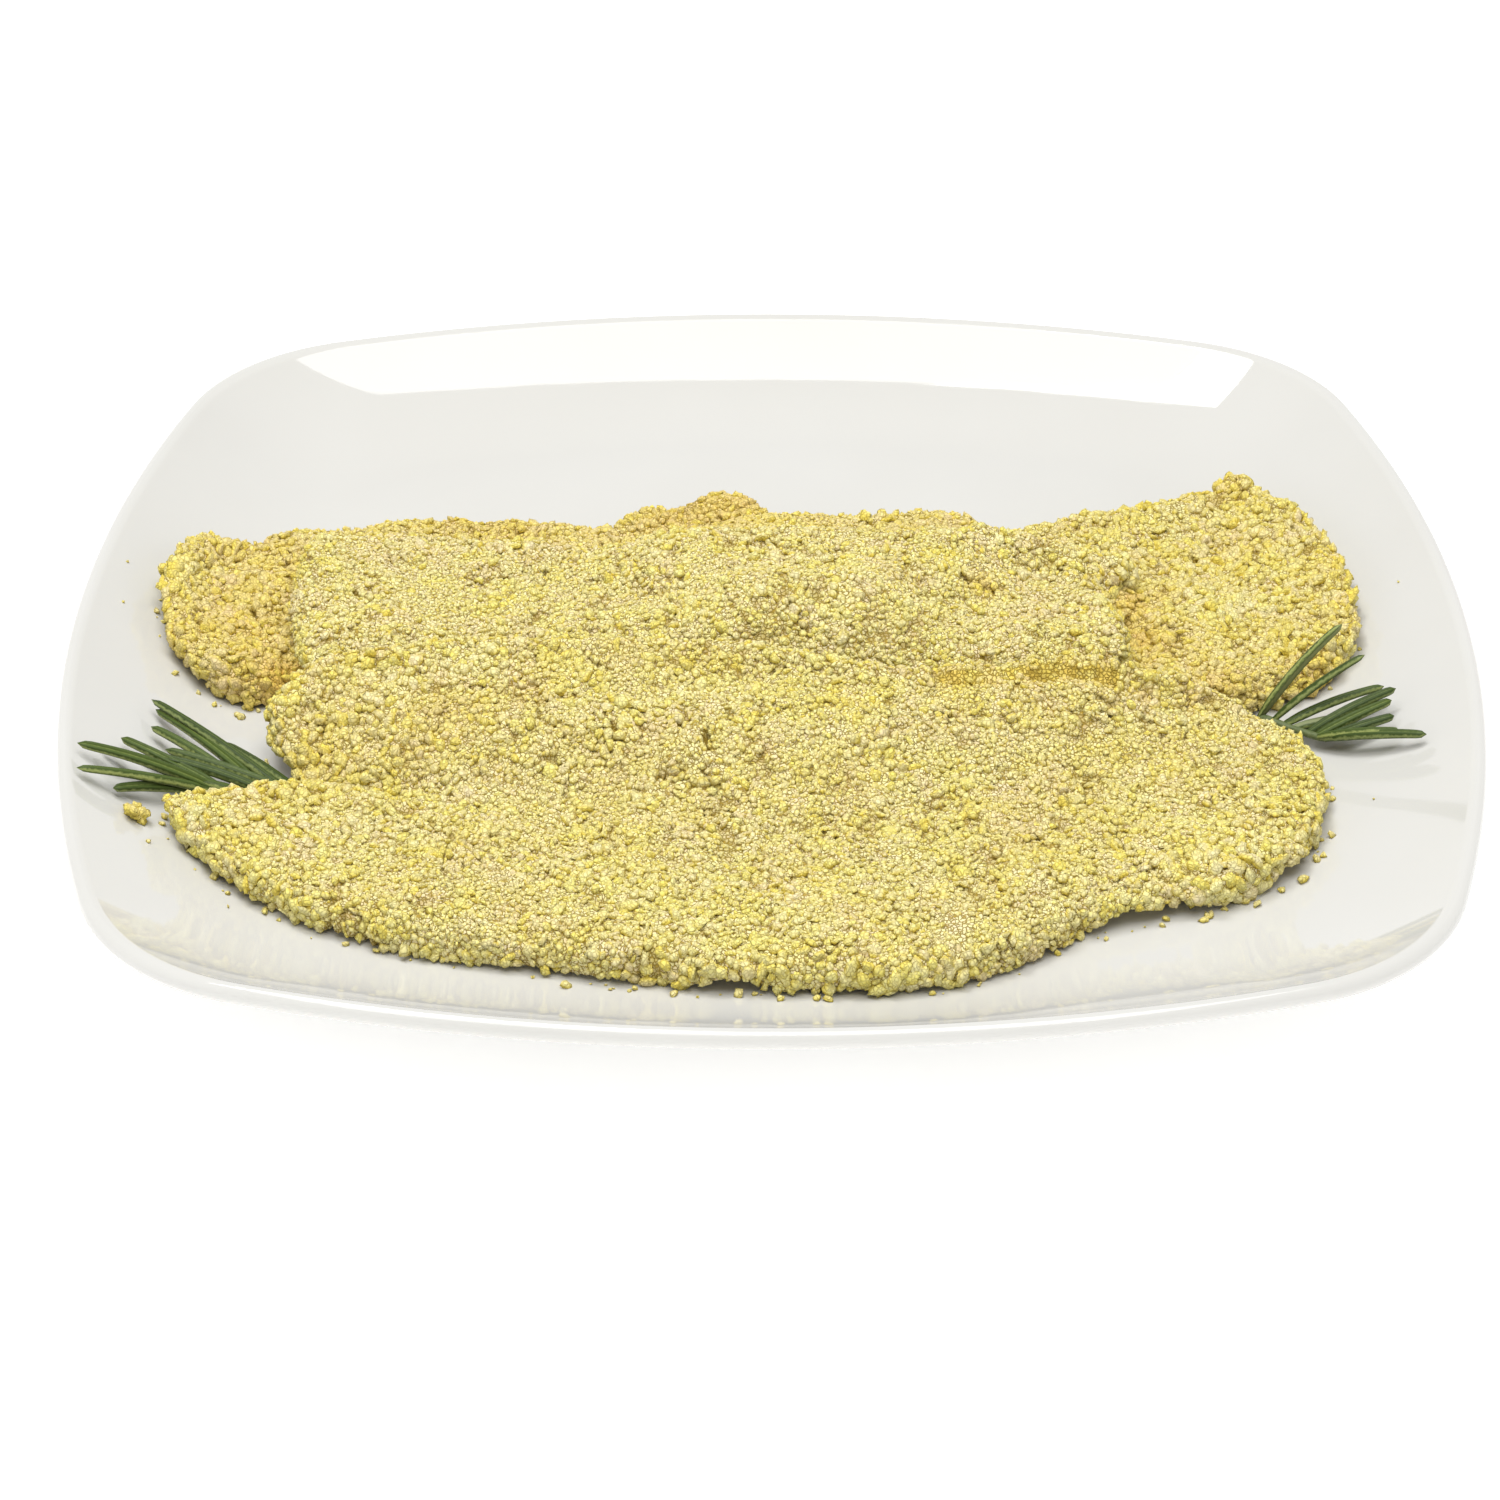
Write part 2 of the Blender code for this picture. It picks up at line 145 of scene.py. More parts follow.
room = bpy.data.worlds.new("pale_room")
room.use_nodes = True
wall = room.node_tree.nodes["Background"]
wall.inputs["Color"].default_value = (1.0, 0.995, 0.98, 1)
direction = room.node_tree.nodes.new("ShaderNodeTexCoord")
parts = room.node_tree.nodes.new("ShaderNodeSeparateXYZ")
upwards = room.node_tree.nodes.new("ShaderNodeMapRange")
upwards.inputs["From Min"].default_value = 0.0
upwards.inputs["From Max"].default_value = 0.6
upwards.inputs["To Min"].default_value = 1.05
upwards.inputs["To Max"].default_value = 0.40
room.node_tree.links.new(direction.outputs["Generated"], parts.inputs["Vector"])
room.node_tree.links.new(parts.outputs["Z"], upwards.inputs["Value"])
room.node_tree.links.new(upwards.outputs["Result"], wall.inputs["Strength"])
bpy.context.scene.world = room
bpy.context.scene.view_settings.view_transform = "Standard"

eye = bpy.data.cameras.new("camera")
eye.lens = LENS
eye.sensor_width = 36
camera = bpy.data.objects.new("camera", eye)
camera.location = LOOK_AT + LOOK_DISTANCE * Vector((0, -math.cos(LOOK_DOWN), math.sin(LOOK_DOWN)))
camera.rotation_euler = (math.pi / 2 - LOOK_DOWN, 0, 0)
bpy.context.scene.collection.objects.link(camera)
bpy.context.scene.camera = camera


# ================================================================ plate
# A rounded square coupe plate of glazed white porcelain, pressed over a turning mould: a flat
# floor that turns up to a rounded lip, on a low foot ring. The glaze pools and waves a little.

PLATE_HALF = 150 * MM  # middle of the plate to the middle of a side
SIDE_RADIUS = 367 * MM  # the sides are shallow arcs
CORNER_RADIUS = 47 * MM
FLOOR_HALF = 110 * MM
FLOOR_HEIGHT = 8 * MM
RIM_HEIGHT = 24.5 * MM
LIP_THICKNESS = 4.2 * MM
FOOT_HALF = 92 * MM
FOOT_WIDTH = 6 * MM
BODY_THICKNESS = 4.5 * MM
SLOPE_CURVE = 1.9  # power of the slope's rise
PLATE_STEPS = 320
CORNER_PULL = 0.1  # radians by which steps are drawn towards the corners


def plate_reach(angle):
    """Middle of the plate to its outline, in one direction, as a share of PLATE_HALF."""
    side, corner = SIDE_RADIUS / PLATE_HALF, CORNER_RADIUS / PLATE_HALF
    behind = side - 1  # the side arc's middle lies this far behind the plate's own
    # The corner arc's middle is (k, k), where the corner touches the side arc from inside.
    k = (math.sqrt(2 * (side - corner) ** 2 - behind**2) - behind) / 2
    spread = side / (side - corner)
    join = math.atan2(k * spread, (k + behind) * spread - behind)
    folded = abs((angle + math.pi / 4) % (math.pi / 2) - math.pi / 4)
    cos, sin = math.cos(folded), math.sin(folded)
    if folded < join:
        return math.sqrt(side**2 - (behind * sin) ** 2) - behind * cos
    along = k * (cos + sin)
    return along + math.sqrt(corner**2 - 2 * k**2 + along**2)


def upper_section(steps=28):
    """(radius, height) of the upper face: the flat floor, then the curve up to the lip."""
    points = [(FLOOR_HALF * share, FLOOR_HEIGHT) for share in (0, 0.25, 0.5, 0.75, 0.92)]
    slope_end = PLATE_HALF - LIP_THICKNESS * 0.55
    for i in range(steps + 1):
        t = i / steps
        radius = FLOOR_HALF + (slope_end - FLOOR_HALF) * t
        points.append((radius, FLOOR_HEIGHT + (RIM_HEIGHT - FLOOR_HEIGHT) * t**SLOPE_CURVE))
    return points


def plate_section():
    """The whole turned section, with a round lip and a foot ring with softened corners."""
    points = upper_section()
    lip_radius = LIP_THICKNESS / 2
    lip_middle = (PLATE_HALF - lip_radius, RIM_HEIGHT - lip_radius)
    for degrees in range(70, -91, -16):
        turn = math.radians(degrees)
        points.append(
            (
                lip_middle[0] + lip_radius * math.cos(turn),
                lip_middle[1] + lip_radius * math.sin(turn),
            )
        )
    underside = FLOOR_HEIGHT - BODY_THICKNESS
    start, end = points[-1], (FOOT_HALF + FOOT_WIDTH * 1.3, underside)
    for i in range(1, 13):
        t = i / 12
        radius = start[0] + (end[0] - start[0]) * t
        points.append((radius, end[1] + (start[1] - end[1]) * (1 - t) ** 1.7))
    points += [
        (FOOT_HALF + FOOT_WIDTH * 1.02, underside * 0.75),
        (FOOT_HALF + FOOT_WIDTH * 0.86, underside * 0.16),
        (FOOT_HALF + FOOT_WIDTH * 0.7, 0),
        (FOOT_HALF + FOOT_WIDTH * 0.1, 0),
        (FOOT_HALF - FOOT_WIDTH * 0.02, underside * 0.16),
        (FOOT_HALF - FOOT_WIDTH * 0.25, underside * 0.9),
        (FOOT_HALF - FOOT_WIDTH * 0.6, underside),
        (FOOT_HALF * 0.5, underside),
        (0, underside),
    ]
    return points


def white_glaze():
    material, nodes, links, shader = new_material("white_glaze", 0.07)
    shader.inputs["IOR"].default_value = 1.5
    cloud = noise_node(nodes, links, 14.0)
    tint = ramp_node(nodes, [(0.3, (0.585, 0.578, 0.55)), (0.7, (0.605, 0.60, 0.575))])
    links.new(cloud.outputs["Fac"], tint.inputs["Fac"])
    links.new(tint.outputs["Color"], shader.inputs["Base Color"])
    polish = noise_node(nodes, links, 60.0)
    dull = nodes.new("ShaderNodeMapRange")
    dull.inputs["To Min"].default_value = 0.03
    dull.inputs["To Max"].default_value = 0.06
    links.new(polish.outputs["Fac"], dull.inputs["Value"])
    links.new(dull.outputs["Result"], shader.inputs["Roughness"])
    wave = noise_node(nodes, links, 45.0, detail=1.5)
    bump = nodes.new("ShaderNodeBump")
    bump.inputs["Strength"].default_value = 0.35
    bump.inputs["Distance"].default_value = 0.15 * MM
    links.new(wave.outputs["Fac"], bump.inputs["Height"])
    links.new(bump.outputs["Normal"], shader.inputs["Normal"])
    return material


def evaluated_mesh(obj):
    """The object's mesh with its modifiers applied; the object itself is removed."""
    graph = bpy.context.evaluated_depsgraph_get()
    mesh = bpy.data.meshes.new_from_object(obj.evaluated_get(graph))
    bpy.data.objects.remove(obj)
    return mesh


def make_plate():
    section = bpy.data.meshes.new("plate_section")
    points = [(radius, 0, height) for radius, height in plate_section()]
    section.from_pydata(points, [(i, i + 1) for i in range(len(points) - 1)], [])
    glaze = white_glaze()
    turned = add_piece("turned_plate", section, glaze)
    screw = turned.modifiers.new("turn", "SCREW")
    screw.steps = screw.render_steps = PLATE_STEPS
    screw.use_merge_vertices = True
    screw.merge_threshold = 0.01 * MM
    mesh = evaluated_mesh(turned)
    for vertex in mesh.vertices:
        radius = math.hypot(vertex.co.x, vertex.co.y)
        angle = math.atan2(vertex.co.y, vertex.co.x)
        angle += CORNER_PULL * math.sin(4 * angle)
        vertex.co.x = radius * plate_reach(angle) * math.cos(angle)
        vertex.co.y = radius * plate_reach(angle) * math.sin(angle)
    mesh.shade_smooth()
    plate = add_piece("porcelain_plate", mesh, glaze)
    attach(plate, "root")
    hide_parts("plate")


def plate_height(x, y):
    """Height of the plate's upper face under points given as arrays."""
    reach = np.vectorize(plate_reach)(np.arctan2(y, x))
    radii, heights = zip(*upper_section())
    return np.interp(np.hypot(x, y) / reach, radii, heights)


make_plate()


# ================================================================ cutlets
# Slices of meat beaten out thin, dipped in egg and pressed into dry crumbs, still uncooked.
# Each is a limp body under a coat of round crumbs about a millimetre across, packed so that
# only thin gaps are left, darkened with painted shade. What lies under another cutlet or on
# the plate stays coarse.

BED_VOXEL = 0.9 * MM
CLUMP = 3.6 * MM  # the crumbs cling together in clumps of about this size
CLUMP_RISE = 0.6  # how far the middle of a clump stands above its edge, in millimetres
COAT_BED = 0.75 * MM  # the bed under the crumbs lies this far inside the solid
MAP_CELL = 2 * MM
MAP_SIDE = 152  # cells along a side of the maps
HIDDEN_KEPT = 0.05  # share of the hidden faces that is kept
SPOTS_PER_MM2 = 5.0  # places tried for a crumb
CLOSENESS = 0.71  # of two crumbs' middles, as a share of their radii together

# Places are (x, y) in millimetres on the plate. Warmth and tone shift the colour of the whole
# coat and grain is how large its crumbs are. Lumpy is (place, radius, how much larger); a curl
# is (place, radius, rise), where the edge stands off the plate; bare is (path, half width),
# where loose crumbs came off. A fold is (path, half width, height), and sinks in where its
# height is below zero; a crack is a short gap between crumbs, filled with painted shade; a heap
# is a knot of crumbs (place, radius, height); a stain is (place, radius, how much warmer), and
# many stains are painted shade under and behind the edges of the cutlets lying above.
CUTLETS = (
    {
        "node": "cutlet_back_right",
        "seed": 31,
        "under": ("cutlet_back_left", "cutlet_middle", "cutlet_front"),
        "warmth": 0.15,
        "tone": 0.02,
        "grain": 1.12,
        "lumpy": [((108, 40), 60, 0.3)],
        "curls": [],
        "bare": [],
        "folds": [
            (((108, 76), (98, 34)), 5, -1.0), (((66, 62), (84, 66), (100, 74)), 3.5, 0.9),
            (((84, 20), (118, 40)), 6, 1.0), (((96, 4), (124, 14)), 5, -0.8),
            (((88, 58), (84, 30)), 4, -0.7), (((78, 18), (81, 8), (82, -8)), 3, -2.2),
            (((90, -8), (112, -2), (124, 10)), 3, 0.6),
        ],
        "cracks": [((95, 46), (97, 42)), ((108, 20), (112, 21)), ((86, 12), (89, 8))],
        "heaps": [
            ((107.5, 79.5), 3.6, 4.2), ((97, 74), 3, 0.8), ((60, 58), 3, 0.8), ((76, 21.5), 4.5, 3.0),
        ],
        # Those under and beside the middle cutlet's knob and right edge, and those just behind the
        # front cutlet's rim, are painted shade; the others make the coat warmer there.
        "stains_and_shade": [
            ((118, -4), 7, 0.5), ((98, -12), 8, 0.3), ((106, 78), 5, 0.2), ((82, 10), 9, 0.25),
            ((80, 21), 4, 0.5), ((87, 26), 3, 0.3), ((80, 10), 3.5, 0.25), ((81, 0), 3.5, 0.2),
            ((84, -13), 5, 0.3), ((92, -13), 5, 0.3),
        ],
    },
    {
        "node": "cutlet_back_left",
        "seed": 32,
        "under": ("cutlet_middle", "cutlet_front"),
        "warmth": 0.31,
        "tone": -0.04,
        "grain": 1.1,
        "lumpy": [((-118, 25), 30, 0.3)],
        "curls": [],
        "bare": [],
        "folds": [
            (((-116, 56), (-120, 40), (-121, 14)), 4, -1.5), (((-131, 20), (-127, 46)), 4, 0.9),
            (((-102, -12), (-103, -6), (-104, 4)), 3, -1.8), (((-108, 54), (-111, 22)), 4, 1.0),
            (((-80, 60), (-50, 59), (-24, 57)), 2.6, 0.8),
            (((-36, 57), (-20, 59), (0, 57)), 4.5, 4.2), (((6, 54), (40, 50)), 3, 1.0),
        ],
        "cracks": [((-125, 12), (-121, 9)), ((-113, 20), (-112, 15)), ((-40, 57), (-35, 56))],
        "heaps": [((-27, 58), 5, 3.0), ((-13, 59), 4, 1.8), ((-86, 60), 3, 0.8)],
        # The small stain where the lobe meets the middle and front cutlets is painted shade; the others
        # make the coat warmer there.
        "stains_and_shade": [
            ((-102.5, -6), 5, 0.9), ((-112, 6), 18, 0.18), ((-18, 58), 15, 0.2), ((-60, 60), 16, 0.15),
        ],
    },
    {
        "node": "cutlet_middle",
        "seed": 36,
        "under": ("cutlet_front",),
        "warmth": -0.10,
        "tone": -0.07,
        "grain": 0.92,
        "lumpy": [((78, 24), 12, 0.45), ((70, 0), 14, 0.25)],
        "curls": [],
        "bare": [],
        "folds": [
            (((-97, 37), (-78, 38.5), (-60, 34.5), (-38, 31.5), (-25, 28), (0, 27), (30, 27),
              (46, 29), (66, 33)), 2.4, 0.7),
            (((54, 29), (70, 28), (78, 26)), 4, 1.2),
            (((68, 13), (73, 4), (74, -12)), 2.6, 2.0), (((-101, 34), (-100, 8)), 3, 0.8),
            (((-70, 20), (-20, 14)), 9, 0.9), (((-30, -6), (10, -7), (40, -8), (66, -8)), 9, 2.4),
            (((-16, 1), (26, 2)), 5, 1.6),
            (((40, -18), (70, -17)), 2.6, -1.2),
            (((-88, 0), (-50, -6)), 8, -0.9), (((-90, 26), (-92, 4)), 4, -0.7),
        ],
        "cracks": [
            ((41, 12), (47, 10)), ((47, 10), (50, 11)), ((-60, 22), (-57, 19)),
            ((12, 16), (16, 17)), ((-90, 14), (-88, 10)), ((60, 23), (64, 24)),
        ],
        "heaps": [((79, 30), 3.2, 2.6), ((73.5, 16), 3, 1.5), ((-36, 22), 5, 0.6), ((-98, 36), 4, 0.8)],
        # The first two are painted shade, in a crack and in the notch under the right end's knob; the
        # last makes the left end less brown.
        "stains_and_shade": [((46, 11), 4, 0.6), ((74, 17), 4, 0.5), ((-99, 8), 8, -0.2)],
    },
    {
        "node": "cutlet_front",
        "seed": 34,
        "under": (),
        "warmth": 0.04,
        "tone": 0.0,
        "grain": 1.0,
        "lumpy": [((-105, -62), 22, 0.5), ((-85, -35), 22, 0.3), ((95, -78), 22, 0.5),
                  ((58, -25), 14, -0.15), ((-10, -110), 40, 0.2)],
        "curls": [((72, -91), 7, 0.9), ((82, -88), 6, 0.9), ((105, -74), 6, 0.5), ((-8, -113), 6, 0.0)],
        "bare": [(((36, -26.3), (50, -25.6), (62, -25.4), (72, -26.2)), 1.1)],
        "folds": [
            (((-99, -44.5), (-84, -48), (-70, -51)), 3.2, -2.8),
            (((-120, -58), (-104, -53), (-90, -54), (-70, -62)), 3.5, 1.4),
            (((-103, -27), (-96, -22), (-83, -20), (-60, -18.5), (-25, -18.5), (0, -20.5),
              (22, -24.5), (40, -26)), 2.2, 1.3),
            (((32, -25), (50, -24), (64, -23.8), (78, -23.5), (92, -21.5)), 1.3, 2.4),
            (((36, -28), (50, -27.2), (62, -27), (74, -27.3), (84, -26.8)), 1.5, -1.3),
            (((80, -24), (90, -22.5), (99, -23)), 2.4, 1.2),
            (((-60, -32), (-20, -38), (30, -37)), 8, 0.7),
            (((-70, -84), (20, -98)), 9, 0.7), (((60, -60), (108, -52)), 9, -0.7),
            (((63.5, -92), (66, -84)), 2.5, -1.2),
        ],
        "cracks": [
            ((-33, -41), (-32, -44)), ((-17, -39), (-19, -42)), ((-13.5, -44), (-13, -47)),
            ((-24, -53), (-18, -52)), ((-16, -55), (-10, -55)), ((-14, -62), (-12, -63)),
            ((30, -60), (34, -61)), ((-58, -70), (-54, -71)), ((64, -50), (67, -49)),
        ],
        "heaps": [
            ((-18, -47), 4.5, 1.4), ((-103, -29), 4, 1.0), ((-122, -60), 3.5, 0.9),
            ((-20, -50.5), 2.2, 1.3), ((-78, -92), 5, 0.7), ((86, -86), 4, 0.8),
            ((-104, -54), 4, 0.7), ((-93, -52), 4, 1.4),
        ],
        # Those along the rolled rim at the back right are egg-soaked crust with painted shade on the
        # wall under the rim; the others make the coat warmer there.
        "stains_and_shade": [
            ((38, -26), 3, 0.45), ((46, -26), 3, 0.5), ((54, -26), 3, 0.5), ((62, -26), 3, 0.5),
            ((70, -26.5), 3, 0.5), ((78, -26.5), 3, 0.35), ((88, -25), 4, 0.2), ((-100, -42), 6, 0.2),
            ((-80, -38), 16, 0.13),
        ],
    },
)


def plan_map(node):
    """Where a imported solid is, seen from straight above, on a square grid of cells."""
    tree = BVHTree.FromObject(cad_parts[node], bpy.context.evaluated_depsgraph_get())
    found = np.zeros((MAP_SIDE, MAP_SIDE), bool)
    for i in range(MAP_SIDE):
        for j in range(MAP_SIDE):
            x = (i + 0.5 - MAP_SIDE / 2) * MAP_CELL
            y = (j + 0.5 - MAP_SIDE / 2) * MAP_CELL
            found[i, j] = tree.ray_cast(Vector((x, y, 0.2)), Vector((0, 0, -1)))[0] is not None
    return found


def shrunk(cells, rounds):
    """The map without its outermost cells."""
    for _ in range(rounds):
        padded = np.pad(cells, 1)
        cells = cells & padded[:-2, 1:-1] & padded[2:, 1:-1] & padded[1:-1, :-2] & padded[1:-1, 2:]
    return cells


def read_cells(cells, points):
    index = np.floor(points[:, :2] / MAP_CELL + MAP_SIDE / 2).astype(int)
    index = np.clip(index, 0, MAP_SIDE - 1)
    return cells[index[:, 0], index[:, 1]]


PLANS = {cutlet["node"]: plan_map(cutlet["node"]) for cutlet in CUTLETS}


def vertex_arrays(mesh):
    """Places and normals of a mesh's points."""
    points = np.empty(len(mesh.vertices) * 3)
    normals = np.empty(len(mesh.vertices) * 3)
    mesh.vertices.foreach_get("co", points)
    mesh.vertices.foreach_get("normal", normals)
    return points.reshape(-1, 3), normals.reshape(-1, 3)


def put_points(mesh, points):
    mesh.vertices.foreach_set("co", np.round(points, 7).astype(np.float32).ravel())
    mesh.update()


def off_path(points, path):
    """Distance in plan from a path, and how far along it from 0 to 1, both as arrays."""
    away, along = np.full(len(points), 1.0), np.zeros(len(points))
    corners = np.array(path) * MM
    for i, (start, end) in enumerate(zip(corners, corners[1:])):
        line = end - start
        beside, ahead = (points[:, :2] - start).T
        t = np.clip((beside * line[0] + ahead * line[1]) / (line**2).sum(), 0, 1)
        reach = np.hypot(beside - t * line[0], ahead - t * line[1])
        along = np.where(reach < away, (i + t) / (len(path) - 1), along)
        away = np.minimum(away, reach)
    return away, along


def is_hidden(cutlet, points, normals):
    """True where another cutlet covers the place, or where it faces down onto what it lies on."""
    inner = shrunk(PLANS[cutlet["node"]], 2)
    hidden = (normals[:, 2] < -0.2) & read_cells(inner, points)
    covers = [PLANS[name] for name in cutlet["under"]]
    if covers:
        hidden |= read_cells(shrunk(np.any(covers, axis=0), 4), points)
    return hidden


def patchiness(points, seed, length):
    """Slow change from place to place, from about -1 to 1."""
    return np.array(
        [noise.noise(Vector((x / length, y / length, seed + z / length))) for x, y, z in points]
    )


noise.seed_set(3)  # noise_vector draws from this, so the clumps come out the same each time


def clumps(cutlet, points):
    """How far inside its clump a point is, how open the gap round it is, and the clump's tone."""
    inside, tone = np.empty(len(points)), np.empty(len(points))
    for i, (x, y, z) in enumerate(points):
        place = Vector((x, y, 0.35 * z)) / CLUMP + Vector((cutlet["seed"], 0, 0))
        near, middles = noise.voronoi(place + 0.35 * noise.noise_vector(1.3 * place))
        inside[i] = min(1.0, (near[1] - near[0]) / 0.4)
        tone[i] = noise.cell(7.3 * middles[0])
    open_gap = np.clip(5 * patchiness(points, cutlet["seed"] + 33, 7 * MM), 0, 1)
    return inside, open_gap, tone


def slow_shape(cutlet, points, normals):
    """How far each point is lifted by the meat's lumps, folds and heaps of crumbs."""
    seed = cutlet["seed"]
    inside, open_gap, _ = clumps(cutlet, points)
    lift = 0.8 * patchiness(points, seed, 19 * MM) + 0.7 * patchiness(points, seed + 9, 6 * MM)
    lift += CLUMP_RISE * inside * (2 - inside) - 0.2
    lift -= 0.9 * open_gap * np.maximum(0, 1 - 2 * inside)
    lift *= MM
    upwards = np.clip(normals[:, 2] * 1.5 + 0.2, 0, 1)
    for path, half_width, height in cutlet["folds"]:
        away, t = off_path(points, path)
        ends = np.clip(5 * np.minimum(t, 1 - t) + 0.35, 0, 1)
        lift += height * MM * ends * upwards * np.exp(-((away / (half_width * MM)) ** 2))
    for place, radius, height in cutlet["heaps"]:
        away = np.hypot(*(points[:, :2] - np.array(place) * MM).T)
        lift += height * MM * upwards * np.exp(-((away / (radius * MM)) ** 2))
    for crack in cutlet["cracks"]:
        away, _ = off_path(points, crack)
        lift -= 2.2 * MM * upwards * np.exp(-((away / (0.7 * MM)) ** 2))
    return lift


def sunk_onto_plate(cutlet, points, normals):
    """The points with the edges let down onto the plate, where they don't curl up from it."""
    low = np.flatnonzero(normals[:, 2] < 0.35)
    gap = points[low, 2] - plate_height(points[low, 0], points[low, 1])
    share = np.clip(3 * (0.35 - normals[low, 2]), 0, 1) * np.clip((5 * MM - gap) / (2 * MM), 0, 1)
    curled = np.zeros(len(low))
    for place, radius, rise in cutlet["curls"]:
        away = np.hypot(*(points[low, :2] - np.array(place) * MM).T)
        share *= np.clip(away / (radius * MM) - 0.5, 0, 1)
        curled += rise * MM * np.exp(-((away / (radius * MM)) ** 2)) * (normals[low, 2] < -0.1)
    points[low, 2] += curled - 0.8 * share * np.maximum(gap - 0.3 * MM, 0)
    return points


def cutlet_bed(cutlet):
    """The cutlet's body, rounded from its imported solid, coarse where nothing of it is seen."""
    node = cutlet["node"]
    cage = bmesh.new()
    cage.from_mesh(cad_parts[node].data)
    bmesh.ops.remove_doubles(cage, verts=cage.verts, dist=0.01 * MM)
    mesh = bpy.data.meshes.new(node + "_cage")
    cage.to_mesh(mesh)
    cage.free()
    body = bpy.data.objects.new(node + "_cage", mesh)
    bpy.context.scene.collection.objects.link(body)
    rounded = body.modifiers.new("rounded", "SUBSURF")
    rounded.levels = rounded.render_levels = 2
    even = body.modifiers.new("even", "REMESH")
    even.mode = "VOXEL"
    even.voxel_size = BED_VOXEL
    mesh = evaluated_mesh(body)

    points, normals = vertex_arrays(mesh)
    lift = slow_shape(cutlet, points, normals) - COAT_BED
    put_points(mesh, sunk_onto_plate(cutlet, points + normals * lift[:, None], normals))

    points, normals = vertex_arrays(mesh)
    hidden = is_hidden(cutlet, points, normals)
    body = bpy.data.objects.new(node + "_body", mesh)
    bpy.context.scene.collection.objects.link(body)
    group = body.vertex_groups.new(name="hidden")
    group.add(np.flatnonzero(hidden).tolist(), 1.0, "REPLACE")
    coarse = body.modifiers.new("coarse", "DECIMATE")
    coarse.vertex_group = "hidden"
    coarse.ratio = 1 - (1 - HIDDEN_KEPT) * hidden.mean()
    return evaluated_mesh(body)


def seen_faces(cutlet, mesh):
    """Corners, normals and areas of the triangles that can be seen."""
    mesh.calc_loop_triangles()
    index = np.empty(len(mesh.loop_triangles) * 3, np.int32)
    mesh.loop_triangles.foreach_get("vertices", index)
    points, _ = vertex_arrays(mesh)
    corners = points[index.reshape(-1, 3)]
    cross = np.cross(corners[:, 1] - corners[:, 0], corners[:, 2] - corners[:, 0])
    area = np.linalg.norm(cross, axis=1) / 2
    normals = cross / np.maximum(2 * area, 1e-15)[:, None]
    seen = ~is_hidden(cutlet, corners.mean(axis=1), normals) & (normals[:, 2] > -0.5)
    return corners[seen], normals[seen], area[seen]


def random_spots(rng, faces, count):
    """Places spread evenly at random over the faces, with the normals there."""
    corners, normals, area = faces
    chosen = rng.choice(len(area), size=count, p=area / area.sum())
    u, v = rng.random((2, count))
    over = u + v > 1
    u[over], v[over] = 1 - u[over], 1 - v[over]
    a, b, c = (corners[chosen, k] for k in range(3))
    return a + (b - a) * u[:, None] + (c - a) * v[:, None], normals[chosen]


def packed_spots(spots, radii, closeness):
    """Which spots to keep so that grains of these radii only just crowd each other."""
    cell = 2 * closeness * radii.max()
    keys = np.floor(spots / cell).astype(int)
    kept_in = {}
    kept = []
    for i, (point, radius, key) in enumerate(zip(spots.tolist(), radii.tolist(), keys.tolist())):
        near = [
            other
            for dx in (-1, 0, 1)
            for dy in (-1, 0, 1)
            for dz in (-1, 0, 1)
            for other in kept_in.get((key[0] + dx, key[1] + dy, key[2] + dz), ())
        ]
        if all(math.dist(point, place) > closeness * (radius + size) for place, size in near):
            kept_in.setdefault(tuple(key), []).append((point, radius))
            kept.append(i)
    return np.array(kept)


def warmth_and_shade_at(cutlet, points):
    """How much of the browner, more orange crumb a place has, some of it painted shade from the stains.
    """
    warm = cutlet["warmth"] + 0.22 * patchiness(points, cutlet["seed"] + 50, 14 * MM)
    for place, radius, more in cutlet["stains_and_shade"]:
        away = np.hypot(*(points[:, :2] - np.array(place) * MM).T)
        warm += more * np.exp(-((away / (radius * MM)) ** 2))
    return warm


def set_shares(mesh, name, values):
    """One number for each point of the mesh, which its material reads."""
    shares = mesh.attributes.new(name, "FLOAT", "POINT")
    shares.data.foreach_set("value", np.clip(values, 0, 1).astype(np.float32))


def mark_bed(cutlet, mesh):
    """The bed's patches of colour, and the painted shade in its cracks and open gaps."""
    points, _ = vertex_arrays(mesh)
    inside, open_gap, own = clumps(cutlet, points)
    # Painted shade: the bed darkens in the open gaps between clumps and along the cracks.
    unshaded = 1.0 - 0.8 * open_gap * np.maximum(0, 1 - 2 * inside)
    for crack in cutlet["cracks"]:
        unshaded = np.minimum(unshaded, (off_path(points, crack)[0] - 0.5 * MM) / MM)
    tone = 0.3 + cutlet["tone"] + 0.15 * own
    tone += 0.35 * patchiness(points, cutlet["seed"] + 70, 5 * MM)
    for path, half_width in cutlet["bare"]:
        tone += 0.6 * (off_path(points, path)[0] < (half_width + 0.5) * MM)
    set_shares(mesh, "tone", tone)
    set_shares(mesh, "unshaded", unshaded)
    set_shares(mesh, "warmth", warmth_and_shade_at(cutlet, points))


BEIGE, PALE, CREAM, BUTTER, YELLOW, GOLD = (
    (0.835, 0.715, 0.44), (0.85, 0.77, 0.43), (0.855, 0.795, 0.39), (0.855, 0.79, 0.30),
    (0.85, 0.76, 0.19), (0.81, 0.665, 0.12),
)
# Browner crust; the stains also use it as painted shade.
TOASTED_AND_SHADE = (0.76, 0.50, 0.12)
# Painted warm shade on the lower flanks of loose crumbs.
FLANK_SHADE = (0.83, 0.675, 0.12)
# Painted shade in the gaps between grains, in open gaps and in cracks.
GAP_SHADE = (0.41, 0.275, 0.035)


